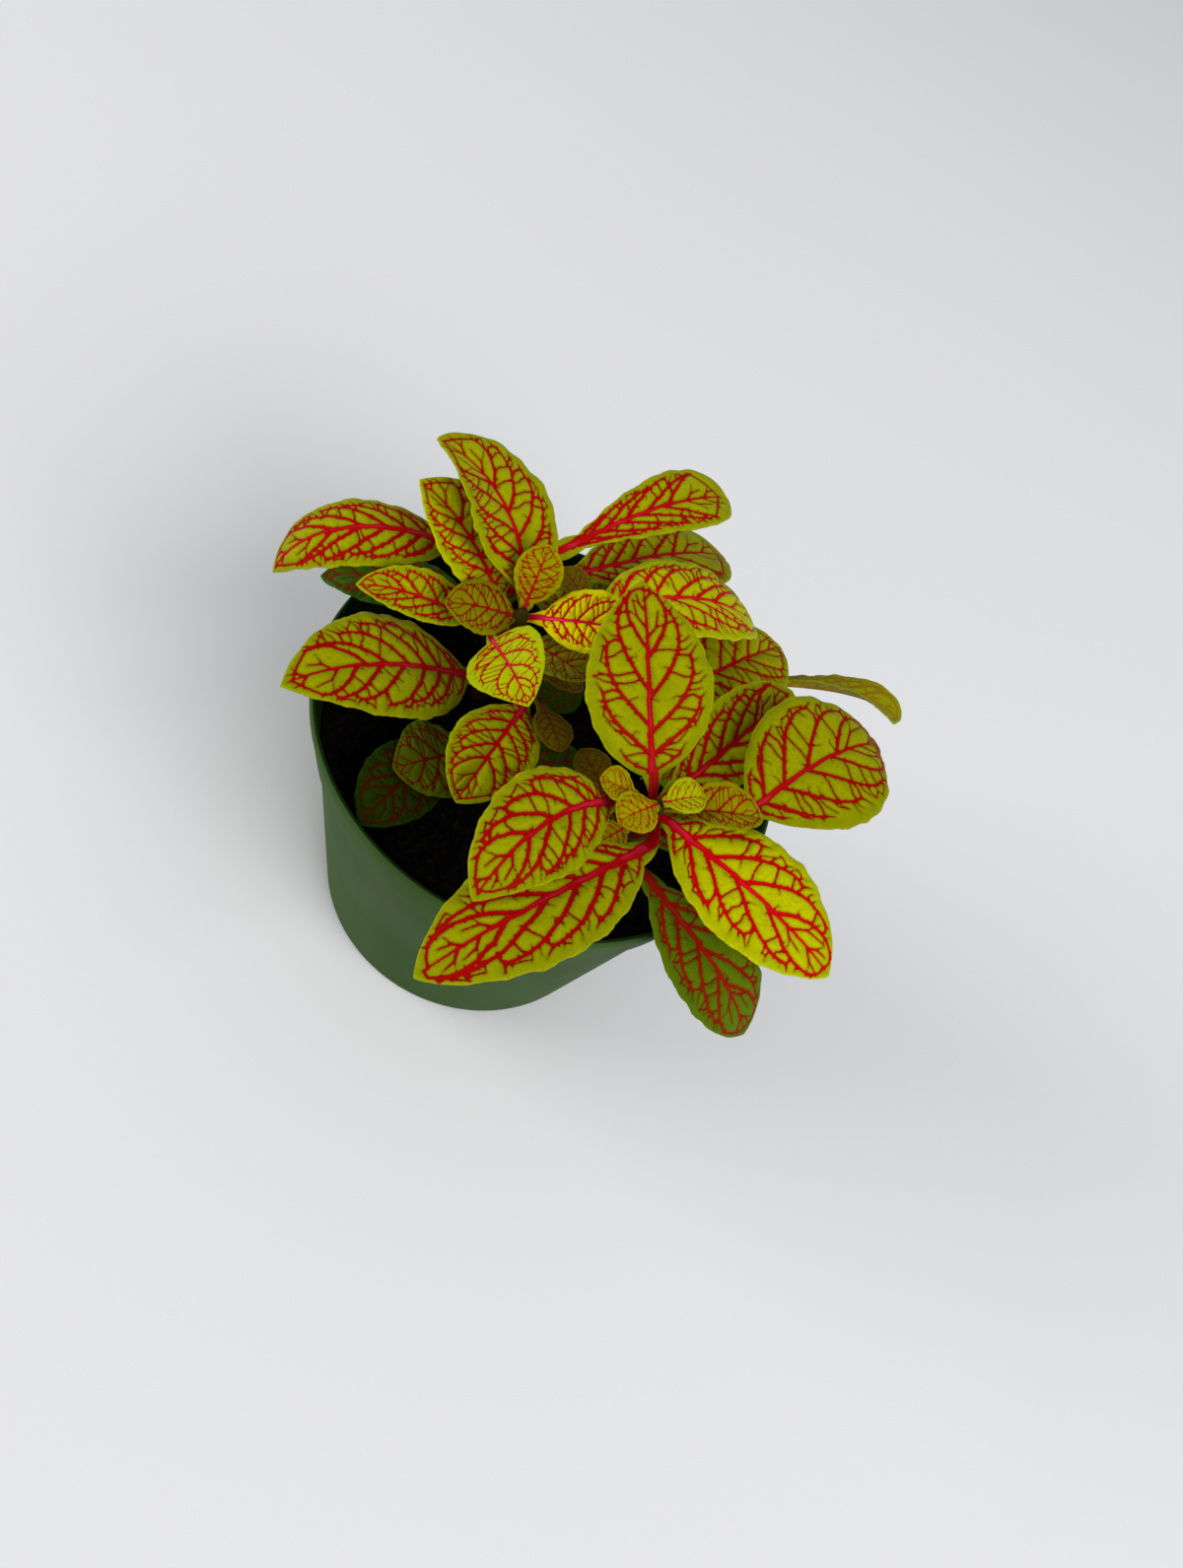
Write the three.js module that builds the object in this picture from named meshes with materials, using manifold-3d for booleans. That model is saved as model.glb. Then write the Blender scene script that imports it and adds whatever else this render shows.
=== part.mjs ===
// A potted nerve plant: six leafy shoots of a Fittonia in a round green nursery pot.
// Millimetres, +Z up along the pot's axis, the origin at the middle of the pot's base.
// Headings are degrees counter-clockwise from +X, pitches are degrees above level.

import * as THREE from 'three';
import { mergeVertices } from 'three/addons/utils/BufferGeometryUtils.js';
import Module from 'manifold-3d';

const wasm = await Module();
wasm.setup();

// ---- driving sizes of the pot and the soil ----

const POT_HEIGHT = 75;
const RIM_RADIUS = 52.5;
const COLLAR_HEIGHT = 13;
const COLLAR_LOW_RADIUS = 49.9;
const COLLAR_STEP = 1.0;
const BASE_RADIUS = 38;
const WALL = 1.3;
const FLOOR = 1.8;
const FOOT_BEVEL = 1.5;
const PAD_RADIUS = 15;
const FOOT_INNER_RADIUS = 28;
const RECESS = 0.8;
const DRAIN_HOLES = 8;
const DRAIN_RADIUS = 4;
const DRAIN_RING = 33.5;
const DRAIN_DRILL_LENGTH = 8;
const DRAIN_SIDES = 12;
const LINE_BELOW_COLLAR = 1;
const LINE_PROUD = 0.4;
const LINE_HALF_HEIGHT = 0.5;
const LIP_BAND = 2;
const LIP_PROUD = 0.5;
const LIP_ROUND = 0.4;
const POT_SIDES = 48;

const SOIL_TOP = 64;
const SOIL_RELIEF = 0.9;
const SOIL_RINGS = 6;
const SOIL_SIDES = 48;
const SOIL_SHOULDER = 1.3;

// ---- driving sizes of the plant ----

const CLEARANCE = 0.35;
const STALK_CLEARANCE = 0.55;
const HOLE_CLEARANCE = 0.5;
const STEM_ROOT_RADIUS = 1.7;
const STEM_TOP_RADIUS = 1.15;
const STEM_SIDES = 8;
const STEM_STEPS = 7;
const STEM_ROOT_DEPTH = 11;
const STEM_HOLE_RISE = 3;
const PETIOLE_HALF_WIDTH = 0.9;
const PETIOLE_HALF_HEIGHT = 0.8;
const PETIOLE_SQUARENESS = 1.1;
const LONG_PETIOLE = 6;
const BLADE_THICKNESS = 0.75;
const MIDRIB_DROP = 0.55;
const TIP_HALF_WIDTH = 0.35;
const OUTLINE_POWER = 1.6;
const WIDEST = 0.56;
const ROW_SLANT = 0.17;
const WAVE = 0.022;
const QUILT = 0.016;
const LARGE_LEAF = 27;
const LARGE_GRID = { rows: 10, across: 3 };
const SMALL_GRID = { rows: 7, across: 2 };
const MIDRIB_STEPS = 90;
const MERGE_DISTANCE = 1e-4;

// Each stem is a parabola through three points: in the soil, half way up and at its top.
const STEMS = {
  left: [[-19, 4, 62], [-17, 0, 84], [-16, -2.5, 103]],
  front: [[21, -16, 62], [25, -20, 84], [26.5, -25.5, 103]],
  rear: [[0, 18, 62], [-3, 17, 82], [-7, 15, 98]],
  low: [[-15, -14, 62], [-11, -12, 76], [-5, -9, 92]],
  back_left: [[-25, 19, 62], [-26, 18, 76], [-27.1, 15.6, 92]],
  back_right: [[15, 15, 62], [17, 17, 78], [18.2, 17.9, 84.5]],
};

// height: where on its stem the leaf grows. petiole, length, width: the stalk and the blade.
// droop bends the blade down towards its tip, sweep turns it sideways, bend turns the stalk,
// roll and twist tilt it about its midrib, fold and curl shape its cross section.
const LEAVES = [
  { name: 'leaf_front_1', stem: 'front', kind: 'lime', height: 99, heading: 135,
    petiole: 6, length: 38.5, width: 26, pitch: 35, droop: 30, sweep: -10, roll: 4, fold: 14, curl: -10,
    widest: 0.43 },
  { name: 'leaf_front_2', stem: 'front', kind: 'lime', height: 98.3, heading: 347,
    petiole: 4, length: 41.5, width: 24, pitch: 8, droop: 30, sweep: 0, roll: -6, fold: 12, curl: -12,
    widest: 0.5 },
  { name: 'leaf_front_3', stem: 'front', kind: 'lime', height: 96.5, heading: 244.5,
    petiole: 11, length: 52, width: 22.5, pitch: 11, droop: 34, sweep: 0, roll: -8, fold: 8, curl: -12,
    bend: 78, widest: 0.5 },
  { name: 'leaf_front_4', stem: 'front', kind: 'lime', height: 89, heading: 70,
    petiole: 24, length: 35, width: 29.5, pitch: 31, droop: 62, sweep: -18, roll: 0, fold: 10, curl: -12,
    bend: -95, widest: 0.54 },
  { name: 'leaf_front_5', stem: 'front', kind: 'lime', height: 94.2, heading: 238,
    petiole: 10.5, length: 41, width: 19.5, pitch: 28, droop: 66, sweep: 30, roll: 16, fold: 10, curl: -15,
    bend: -44, widest: 0.48 },
  { name: 'leaf_front_6', stem: 'front', kind: 'lime', height: 88, heading: 70,
    petiole: 9, length: 38, width: 18, pitch: 20, droop: 20, sweep: 6, roll: -8, fold: 14, curl: -5 },
  { name: 'leaf_front_7', stem: 'front', kind: 'dark', height: 77, heading: 330,
    petiole: 12, length: 39, width: 19, pitch: 8, droop: 70, sweep: 18, roll: -10, fold: 6, curl: -10,
    widest: 0.58 },
  { name: 'leaf_front_8', stem: 'front', kind: 'young', height: 100, heading: 25,
    petiole: 5, length: 16, width: 13, pitch: 16, droop: 20, sweep: 0, roll: 10, fold: 30, curl: -10,
    widest: 0.5 },
  { name: 'bud_front_1', stem: 'front', kind: 'young', height: 100, heading: 198,
    petiole: 5, length: 8, width: 8, pitch: 20, droop: 20, sweep: 0, roll: 0, fold: 20, curl: -10,
    fused: true },
  { name: 'bud_front_2', stem: 'front', kind: 'young', height: 92, heading: 246,
    petiole: 5, length: 9, width: 8, pitch: 6, droop: 30, sweep: 0, roll: 0, fold: 20, curl: -10,
    fused: true },
  { name: 'bud_front_3', stem: 'front', kind: 'bright', height: 103, heading: 40,
    petiole: 1, length: 8, width: 8, pitch: 26, droop: 40, sweep: 0, roll: 0, fold: 30, curl: -15,
    fused: true },
  { name: 'bud_front_4', stem: 'front', kind: 'young', height: 103, heading: 240,
    petiole: 1, length: 9, width: 9, pitch: 10, droop: 40, sweep: 0, roll: 0, fold: 20, curl: -15,
    fused: true },
  { name: 'bud_front_5', stem: 'front', kind: 'brown', height: 80, heading: 150,
    petiole: 9, length: 10.5, width: 9, pitch: 16, droop: 20, sweep: 0, roll: 0, fold: 20, curl: -10,
    fused: true },
  { name: 'leaf_left_1', stem: 'left', kind: 'lime', height: 98, heading: 128,
    petiole: 6, length: 36.5, width: 24, pitch: 36, droop: 26, sweep: 76, roll: -10, fold: 16, curl: -10,
    bend: -24, widest: 0.5 },
  { name: 'leaf_left_2', stem: 'left', kind: 'lime', height: 92.5, heading: 158,
    petiole: 8, length: 28.5, width: 20, pitch: 34, droop: 25, sweep: 24, roll: 0, fold: 20, curl: -10,
    bend: -8, widest: 0.48 },
  { name: 'bud_left_1', stem: 'left', kind: 'young', height: 99.4, heading: 104,
    petiole: 3, length: 13, width: 10, pitch: 58, droop: 20, sweep: 0, roll: 0, fold: 24, curl: -10,
    fused: true },
  { name: 'leaf_left_3', stem: 'left', kind: 'young', height: 99.6, heading: 212,
    petiole: 1, length: 15, width: 12, pitch: 14, droop: 30, sweep: 0, roll: 14, fold: 16, curl: -15,
    widest: 0.5 },
  { name: 'leaf_left_4', stem: 'left', kind: 'bright', height: 95.5, heading: 321,
    petiole: 11, length: 17, width: 17, pitch: 17, droop: 40, sweep: 4, roll: -36, fold: 26, curl: -10,
    bend: -118, widest: 0.4 },
  { name: 'leaf_left_5', stem: 'left', kind: 'young', height: 100, heading: 16,
    petiole: 4, length: 21, width: 14, pitch: 25, droop: 30, sweep: 0, roll: -20, fold: 24, curl: -15,
    widest: 0.5 },
  { name: 'leaf_left_6', stem: 'left', kind: 'lime', height: 93.5, heading: 352,
    petiole: 4, length: 15, width: 17, pitch: 18, droop: 30, sweep: 0, roll: 10, fold: 20, curl: -10,
    widest: 0.5 },
  { name: 'bud_left_2', stem: 'left', kind: 'brown', height: 86, heading: 14,
    petiole: 5, length: 14, width: 10, pitch: 0, droop: 20, sweep: 0, roll: 10, fold: 20, curl: -10,
    fused: true },
  { name: 'leaf_left_7', stem: 'left', kind: 'lime', height: 74, heading: 230,
    petiole: 8, length: 46, width: 25, pitch: 29, droop: 40, sweep: 12, roll: 6, fold: 10, curl: -12,
    bend: 24, widest: 0.44 },
  { name: 'leaf_left_8', stem: 'left', kind: 'lime', height: 92, heading: 201,
    petiole: 9, length: 24.5, width: 11.5, pitch: 13, droop: 40, sweep: 0, roll: 16, fold: 24, curl: -10,
    widest: 0.46 },
  { name: 'leaf_back_left_1', stem: 'back_left', kind: 'lime', height: 90, heading: 222,
    petiole: 13, length: 44.5, width: 16.5, pitch: 21, droop: 110, sweep: 4, roll: 8, fold: -6, curl: -10,
    bend: -28, widest: 0.46 },
  { name: 'leaf_back_left_2', stem: 'back_left', kind: 'dark', height: 76, heading: 210,
    petiole: 6, length: 34, width: 20, pitch: 11, droop: 40, sweep: 0, roll: -10, fold: 10, curl: -10,
    widest: 0.5 },
  { name: 'leaf_back_left_3', stem: 'back_left', kind: 'lime', height: 86, heading: 54,
    petiole: 13, length: 44, width: 17, pitch: 31, droop: 46, sweep: 0, roll: 0, fold: 12, curl: -10,
    widest: 0.76 },
  { name: 'leaf_back_left_4', stem: 'back_left', kind: 'lime', height: 82, heading: 47,
    petiole: 16, length: 43, width: 26, pitch: 16, droop: 44, sweep: 8, roll: 10, fold: 12, curl: -12,
    widest: 0.62 },
  { name: 'leaf_rear_1', stem: 'rear', kind: 'lime', height: 95, heading: 47,
    petiole: 2, length: 44, width: 26, pitch: 13, droop: 66, sweep: -14, roll: 10, fold: 12, curl: -12,
    widest: 0.48 },
  { name: 'bud_rear_1', stem: 'rear', kind: 'brown', height: 93, heading: 162,
    petiole: 3, length: 9, width: 8, pitch: 24, droop: 20, sweep: 0, roll: 0, fold: 20, curl: -10,
    fused: true },
  { name: 'bud_rear_2', stem: 'rear', kind: 'dark', height: 75, heading: 255,
    petiole: 2, length: 12, width: 12, pitch: -10, droop: 20, sweep: 0, roll: 0, fold: 10, curl: -10,
    fused: true },
  { name: 'leaf_back_right_1', stem: 'back_right', kind: 'lime', height: 82, heading: 62,
    petiole: 4, length: 31, width: 25, pitch: 15, droop: 34, sweep: 0, roll: 0, fold: 12, curl: -10,
    widest: 0.52 },
  { name: 'leaf_back_right_2', stem: 'back_right', kind: 'mid', height: 77, heading: 94,
    petiole: 8.5, length: 37, width: 20, pitch: 15, droop: 40, sweep: 0, roll: 0, fold: 12, curl: -10,
    widest: 0.56 },
  { name: 'leaf_back_right_3', stem: 'back_right', kind: 'mid', height: 73.5, heading: 23,
    petiole: 32, length: 36, width: 13, pitch: 16.5, droop: 50, sweep: -4, roll: 44, fold: 20, curl: -5,
    bend: 54, twist: -76, widest: 0.56 },
  { name: 'leaf_low_1', stem: 'low', kind: 'lime', height: 89, heading: 272,
    petiole: 3, length: 27, width: 17.5, pitch: 10, droop: 60, sweep: -4, roll: 0, fold: 10, curl: -12,
    widest: 0.5 },
  { name: 'bud_low_1', stem: 'low', kind: 'brown', height: 90.5, heading: 320,
    petiole: 3.5, length: 11, width: 9, pitch: 12, droop: 40, sweep: 0, roll: 10, fold: 10, curl: -10,
    fused: true },
  { name: 'leaf_low_2', stem: 'low', kind: 'mid', height: 74, heading: 244,
    petiole: 6, length: 17.5, width: 19, pitch: 8, droop: 30, sweep: -20, roll: 0, fold: 10, curl: -10,
    bend: 50, widest: 0.5 },
  { name: 'leaf_low_3', stem: 'low', kind: 'dark', height: 71, heading: 263,
    petiole: 8, length: 26.5, width: 16.5, pitch: 4, droop: 24, sweep: 0, roll: 10, fold: 10, curl: -10,
    bend: -66, widest: 0.5 },
  { name: 'bud_low_2', stem: 'low', kind: 'dark', height: 76, heading: 2,
    petiole: 6, length: 20, width: 15, pitch: 2, droop: 30, sweep: 0, roll: 0, fold: 10, curl: -10,
    fused: true },
  { name: 'leaf_back_left_5', stem: 'back_left', kind: 'dark', height: 68, heading: 112,
    petiole: 4, length: 22, width: 14, pitch: 34, droop: 36, sweep: 0, roll: 0, fold: 12, curl: -10 },
  { name: 'leaf_rear_2', stem: 'rear', kind: 'dark', height: 72, heading: 98,
    petiole: 8, length: 26, width: 15, pitch: 24, droop: 44, sweep: 0, roll: 0, fold: 12, curl: -10 },
  { name: 'leaf_back_right_4', stem: 'back_right', kind: 'dark', height: 70, heading: 30,
    petiole: 10, length: 28, width: 16, pitch: 27, droop: 56, sweep: 0, roll: 0, fold: 12, curl: -10 },
  { name: 'leaf_back_right_5', stem: 'back_right', kind: 'mid', height: 70, heading: 334,
    petiole: 5, length: 18, width: 12, pitch: 8, droop: 30, sweep: 0, roll: 0, fold: 12, curl: -10 },
  { name: 'leaf_rear_3', stem: 'rear', kind: 'mid', height: 79, heading: 146,
    petiole: 5, length: 22, width: 12, pitch: 8, droop: 30, sweep: 0, roll: 0, fold: 12, curl: -10 },
  { name: 'leaf_back_left_6', stem: 'back_left', kind: 'dark', height: 78, heading: 150,
    petiole: 4, length: 16, width: 12, pitch: 10, droop: 30, sweep: 0, roll: 0, fold: 12, curl: -10 },
  { name: 'leaf_front_9', stem: 'front', kind: 'dark', height: 76, heading: 40,
    petiole: 6, length: 24, width: 14, pitch: 6, droop: 40, sweep: 0, roll: 0, fold: 10, curl: -10 },
];

const COLOURS = {
  pot: 0x2f5a3a, peat: 0x14100d, stem: 0x8f8a3a,
  lime: 0xa8b018, mid: 0x7d9a20, dark: 0x3f6a1c, young: 0xc2a832, bright: 0xd0cf30, brown: 0x7a6a26,
};

function material(colour, roughness) {
  return new THREE.MeshStandardMaterial({ color: COLOURS[colour], roughness, metalness: 0 });
}

// ---- mesh helpers ----

/** Merge the shared vertices of a geometry and drop the triangles that have no area. */
function weld(geometry) {
  const bare = geometry.index ? geometry.toNonIndexed() : geometry.clone();
  bare.deleteAttribute('normal');
  bare.deleteAttribute('uv');
  const merged = mergeVertices(bare, MERGE_DISTANCE);
  const kept = [];
  const index = merged.index.array;
  for (let i = 0; i < index.length; i += 3) {
    const [a, b, c] = [index[i], index[i + 1], index[i + 2]];
    if (a !== b && b !== c && c !== a) kept.push(a, b, c);
  }
  merged.setIndex(kept);
  return merged;
}

/** A welded geometry as a solid that can be joined and cut. */
function solid(geometry) {
  const welded = weld(geometry);
  return new wasm.Manifold(new wasm.Mesh({
    numProp: 3,
    vertProperties: new Float32Array(welded.attributes.position.array),
    triVerts: new Uint32Array(welded.index.array),
  }));
}

/** A joined or cut solid as a geometry. */
function geometryOf(body) {
  const mesh = body.getMesh();
  const geometry = new THREE.BufferGeometry();
  geometry.setAttribute('position', new THREE.BufferAttribute(new Float32Array(mesh.vertProperties), 3));
  geometry.setIndex(new THREE.BufferAttribute(new Uint32Array(mesh.triVerts), 1));
  return geometry;
}

/** Six times the volume that a list of triangles encloses; negative when they face inwards. */
function signedVolume(points, faces) {
  const cross = new THREE.Vector3();
  return faces.reduce((sum, [a, b, c]) => sum + points[a].dot(cross.crossVectors(points[b], points[c])), 0);
}

/** A closed body through rings of one even number of points, with a cap on each end. */
function loft(rings, flipsDiagonal = () => false) {
  const sides = rings[0].length;
  const points = rings.flat();
  const faces = [];
  for (let r = 0; r + 1 < rings.length; r += 1) {
    for (let k = 0; k < sides; k += 1) {
      const next = (k + 1) % sides;
      const [a, b] = [r * sides + k, r * sides + next];
      const [c, d] = [(r + 1) * sides + next, (r + 1) * sides + k];
      if (flipsDiagonal(k)) faces.push([a, b, d], [b, c, d]);
      else faces.push([a, b, c], [a, c, d]);
    }
  }
  const last = (rings.length - 1) * sides;
  for (let k = 0; k + 1 < sides / 2; k += 1) {
    const [far, near] = [sides - 1 - k, sides - 2 - k];
    faces.push([k, far, near], [k, near, k + 1]);
    faces.push([last + k, last + near, last + far], [last + k, last + k + 1, last + near]);
  }
  const outward = signedVolume(points, faces) > 0;
  const geometry = new THREE.BufferGeometry();
  geometry.setAttribute('position', new THREE.Float32BufferAttribute(points.flatMap((p) => p.toArray()), 3));
  geometry.setIndex(faces.flatMap(([a, b, c]) => (outward ? [a, b, c] : [a, c, b])));
  return geometry;
}

/** Repeatable noise between -1 and 1 for a pair of whole numbers. */
function noise(i, j) {
  const wave = Math.sin(i * 127.1 + j * 311.7) * 43758.5453;
  return 2 * (wave - Math.floor(wave)) - 1;
}

// ---- the pot ----

/** The radius of the pot's outer wall below its collar, at a height. */
function bodyRadius(height) {
  const top = COLLAR_LOW_RADIUS - COLLAR_STEP;
  return BASE_RADIUS + (top - BASE_RADIUS) * height / (POT_HEIGHT - COLLAR_HEIGHT);
}

/** The radius of the pot's inner wall at a height. */
function innerRadius(height) {
  const collarFoot = POT_HEIGHT - COLLAR_HEIGHT;
  if (height <= collarFoot) return bodyRadius(height) - WALL;
  const share = (height - collarFoot) / COLLAR_HEIGHT;
  return COLLAR_LOW_RADIUS - WALL + (RIM_RADIUS - COLLAR_LOW_RADIUS) * share;
}

/** The pot: a thin tapered wall with a collar, a ribbed base and drain holes round its foot. */
function potGeometry() {
  const collarFoot = POT_HEIGHT - COLLAR_HEIGHT;
  const line = collarFoot - LINE_BELOW_COLLAR;
  const band = POT_HEIGHT - LIP_BAND;
  const mouth = innerRadius(POT_HEIGHT);
  const profile = [
    [0, 0], [PAD_RADIUS, 0], [PAD_RADIUS + RECESS, RECESS],
    [FOOT_INNER_RADIUS - RECESS, RECESS], [FOOT_INNER_RADIUS, 0],
    [BASE_RADIUS - FOOT_BEVEL, 0], [bodyRadius(FOOT_BEVEL), FOOT_BEVEL],
    [bodyRadius(line - LINE_HALF_HEIGHT), line - LINE_HALF_HEIGHT], [bodyRadius(line) + LINE_PROUD, line],
    [bodyRadius(line + LINE_HALF_HEIGHT), line + LINE_HALF_HEIGHT], [COLLAR_LOW_RADIUS, collarFoot],
    [RIM_RADIUS - LIP_PROUD, band - LIP_PROUD], [RIM_RADIUS, band],
    [RIM_RADIUS, POT_HEIGHT - LIP_ROUND], [RIM_RADIUS - LIP_ROUND, POT_HEIGHT],
    [mouth + LIP_ROUND, POT_HEIGHT], [mouth, POT_HEIGHT - LIP_ROUND],
    [innerRadius(band), band], [innerRadius(collarFoot + LINE_PROUD), collarFoot + LINE_PROUD],
    [innerRadius(line), line], [innerRadius(FLOOR), FLOOR], [0, FLOOR],
  ].map(([radius, height]) => new THREE.Vector2(radius, height));
  const shell = new THREE.LatheGeometry(profile, POT_SIDES).rotateX(Math.PI / 2);
  let pot = solid(shell);
  for (let k = 0; k < DRAIN_HOLES; k += 1) {
    const turn = 2 * Math.PI * (k + 0.5) / DRAIN_HOLES;
    const drill = new THREE.CylinderGeometry(DRAIN_RADIUS, DRAIN_RADIUS, DRAIN_DRILL_LENGTH, DRAIN_SIDES);
    drill.rotateX(Math.PI / 2);
    drill.translate(DRAIN_RING * Math.cos(turn), DRAIN_RING * Math.sin(turn), 0);
    pot = pot.subtract(solid(drill));
  }
  return geometryOf(pot);
}

// ---- the soil ----

/** A point on the soil's crumbly top, at a ring and a step round it. */
function soilPoint(ring, step, radius) {
  const turn = 2 * Math.PI * step / SOIL_SIDES;
  const height = SOIL_TOP + SOIL_RELIEF * noise(ring, step % SOIL_SIDES);
  return new THREE.Vector3(radius * Math.cos(turn), radius * Math.sin(turn), height);
}

/** The soil: a plug that fills the pot, with a crumbly top and a plain hole for each stem. */
function soilGeometry() {
  const ringAt = (height) => Array.from({ length: SOIL_SIDES }, (_, step) => {
    const turn = 2 * Math.PI * step / SOIL_SIDES;
    const radius = innerRadius(height) - CLEARANCE;
    return new THREE.Vector3(radius * Math.cos(turn), radius * Math.sin(turn), height);
  });
  const rings = [ringAt(FLOOR + CLEARANCE), ringAt(POT_HEIGHT - COLLAR_HEIGHT - SOIL_SHOULDER)];
  const edge = innerRadius(SOIL_TOP - SOIL_RELIEF) - 3 * CLEARANCE;
  for (let ring = 0; ring < SOIL_RINGS; ring += 1) {
    const radius = edge * (1 - ring / SOIL_RINGS);
    rings.push(Array.from({ length: SOIL_SIDES }, (_, step) => soilPoint(ring, step, radius)));
  }
  let soil = solid(loft(rings));
  for (const stem of Object.values(STEMS)) soil = soil.subtract(solid(stemHole(stem)));
  return geometryOf(soil);
}

// ---- the stems ----

/** The point at a height on the parabola through a stem's three points. */
function stemPoint(stem, height) {
  const [[x0, y0, z0], [x1, y1, z1], [x2, y2, z2]] = stem;
  const a = (height - z1) * (height - z2) / ((z0 - z1) * (z0 - z2));
  const b = (height - z0) * (height - z2) / ((z1 - z0) * (z1 - z2));
  const c = (height - z0) * (height - z1) / ((z2 - z0) * (z2 - z1));
  return new THREE.Vector3(a * x0 + b * x1 + c * x2, a * y0 + b * y1 + c * y2, height);
}

/** The radius of a stem at a height. */
function stemRadius(stem, height) {
  const top = stem[2][2];
  const share = THREE.MathUtils.clamp((height - SOIL_TOP) / (top - SOIL_TOP), 0, 1);
  return THREE.MathUtils.lerp(STEM_ROOT_RADIUS, STEM_TOP_RADIUS, share);
}

/** A level ring round a stem. */
function stemRing(stem, height, radius) {
  return Array.from({ length: STEM_SIDES }, (_, k) => {
    const turn = 2 * Math.PI * k / STEM_SIDES;
    const arm = new THREE.Vector3(radius * Math.cos(turn), radius * Math.sin(turn), 0);
    return stemPoint(stem, height).add(arm);
  });
}

/** The plain hole that a stem stands in. */
function stemHole(stem) {
  const ends = [SOIL_TOP - STEM_ROOT_DEPTH - CLEARANCE, SOIL_TOP + STEM_HOLE_RISE];
  return loft(ends.map((height) => stemRing(stem, height, STEM_ROOT_RADIUS + HOLE_CLEARANCE)));
}

/** A stem with the small leaves of its crown fused to it. */
function stemGeometry(name) {
  const stem = STEMS[name];
  const heights = [SOIL_TOP - STEM_ROOT_DEPTH];
  for (let k = 0; k <= STEM_STEPS; k += 1) {
    heights.push(THREE.MathUtils.lerp(SOIL_TOP, stem[2][2], k / STEM_STEPS));
  }
  const rings = heights.map((height) => stemRing(stem, height, stemRadius(stem, height)));
  let body = solid(loft(rings));
  for (const leaf of LEAVES.filter((row) => row.stem === name && row.fused)) {
    body = body.add(solid(leafGeometry(leaf)));
  }
  return geometryOf(body);
}

// ---- the leaves ----

/** The forward, right and up directions of a leaf at a distance along its midrib. */
function leafFrame(leaf, distance) {
  const along = Math.max(0, (distance - leaf.petiole) / leaf.length);
  const back = Math.max(0, 1 - distance / leaf.petiole);
  const heading = THREE.MathUtils.degToRad(leaf.heading + (leaf.bend ?? 0) * back + leaf.sweep * along);
  const pitch = THREE.MathUtils.degToRad(leaf.pitch - leaf.droop * along * along);
  const roll = THREE.MathUtils.degToRad(leaf.roll + (leaf.twist ?? 0) * along ** 3);
  const forward = new THREE.Vector3(
    Math.cos(pitch) * Math.cos(heading), Math.cos(pitch) * Math.sin(heading), Math.sin(pitch));
  const level = new THREE.Vector3(Math.sin(heading), -Math.cos(heading), 0);
  const normal = new THREE.Vector3().crossVectors(level, forward);
  const right = level.clone().multiplyScalar(Math.cos(roll)).addScaledVector(normal, Math.sin(roll));
  const up = normal.clone().multiplyScalar(Math.cos(roll)).addScaledVector(level, -Math.sin(roll));
  return { forward, right, up };
}

/** The midrib of a leaf, as a function from the distance along it to a point. */
function midribOf(leaf) {
  const step = (leaf.petiole + leaf.length) / MIDRIB_STEPS;
  const points = [stemPoint(STEMS[leaf.stem], leaf.height)];
  for (let k = 0; k < MIDRIB_STEPS; k += 1) {
    points.push(points[k].clone().addScaledVector(leafFrame(leaf, (k + 0.5) * step).forward, step));
  }
  return (distance) => {
    const k = Math.min(Math.floor(distance / step), MIDRIB_STEPS - 1);
    return points[k].clone().lerp(points[k + 1], distance / step - k);
  };
}

/** Half the width of a blade at a share of its length. */
function halfWidth(leaf, along) {
  const rise = OUTLINE_POWER * (leaf.widest ?? WIDEST);
  const fall = OUTLINE_POWER - rise;
  const peak = (rise / OUTLINE_POWER) ** rise * (fall / OUTLINE_POWER) ** fall;
  return leaf.width / 2 * along ** rise * (1 - along) ** fall / peak;
}

/** The middle of a blade's thickness at a share of its length and of its half width, -1 to 1. */
function bladePoint(leaf, midrib, along, side, half) {
  const distance = leaf.petiole + leaf.length * along;
  const { right, up } = leafFrame(leaf, distance);
  const spread = Math.abs(side);
  const lift = THREE.MathUtils.degToRad(leaf.fold + leaf.curl * spread);
  return midrib(distance)
    .addScaledVector(right, half * side * Math.cos(lift))
    .addScaledVector(up, half * spread * Math.sin(lift));
}

/** The ring round a stalk at a distance along it: an oval in the leaf's cross section. */
function petioleRing(leaf, midrib, distance, sides) {
  const { right, up } = leafFrame(leaf, distance);
  const centre = midrib(distance);
  const arc = (side, sign) => centre.clone()
    .addScaledVector(right, PETIOLE_HALF_WIDTH * side)
    .addScaledVector(up, sign * PETIOLE_HALF_HEIGHT * Math.sqrt(PETIOLE_SQUARENESS - side * side));
  return [...sides.map((side) => arc(side, 1)), ...[...sides].reverse().map((side) => arc(side, -1))];
}

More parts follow.
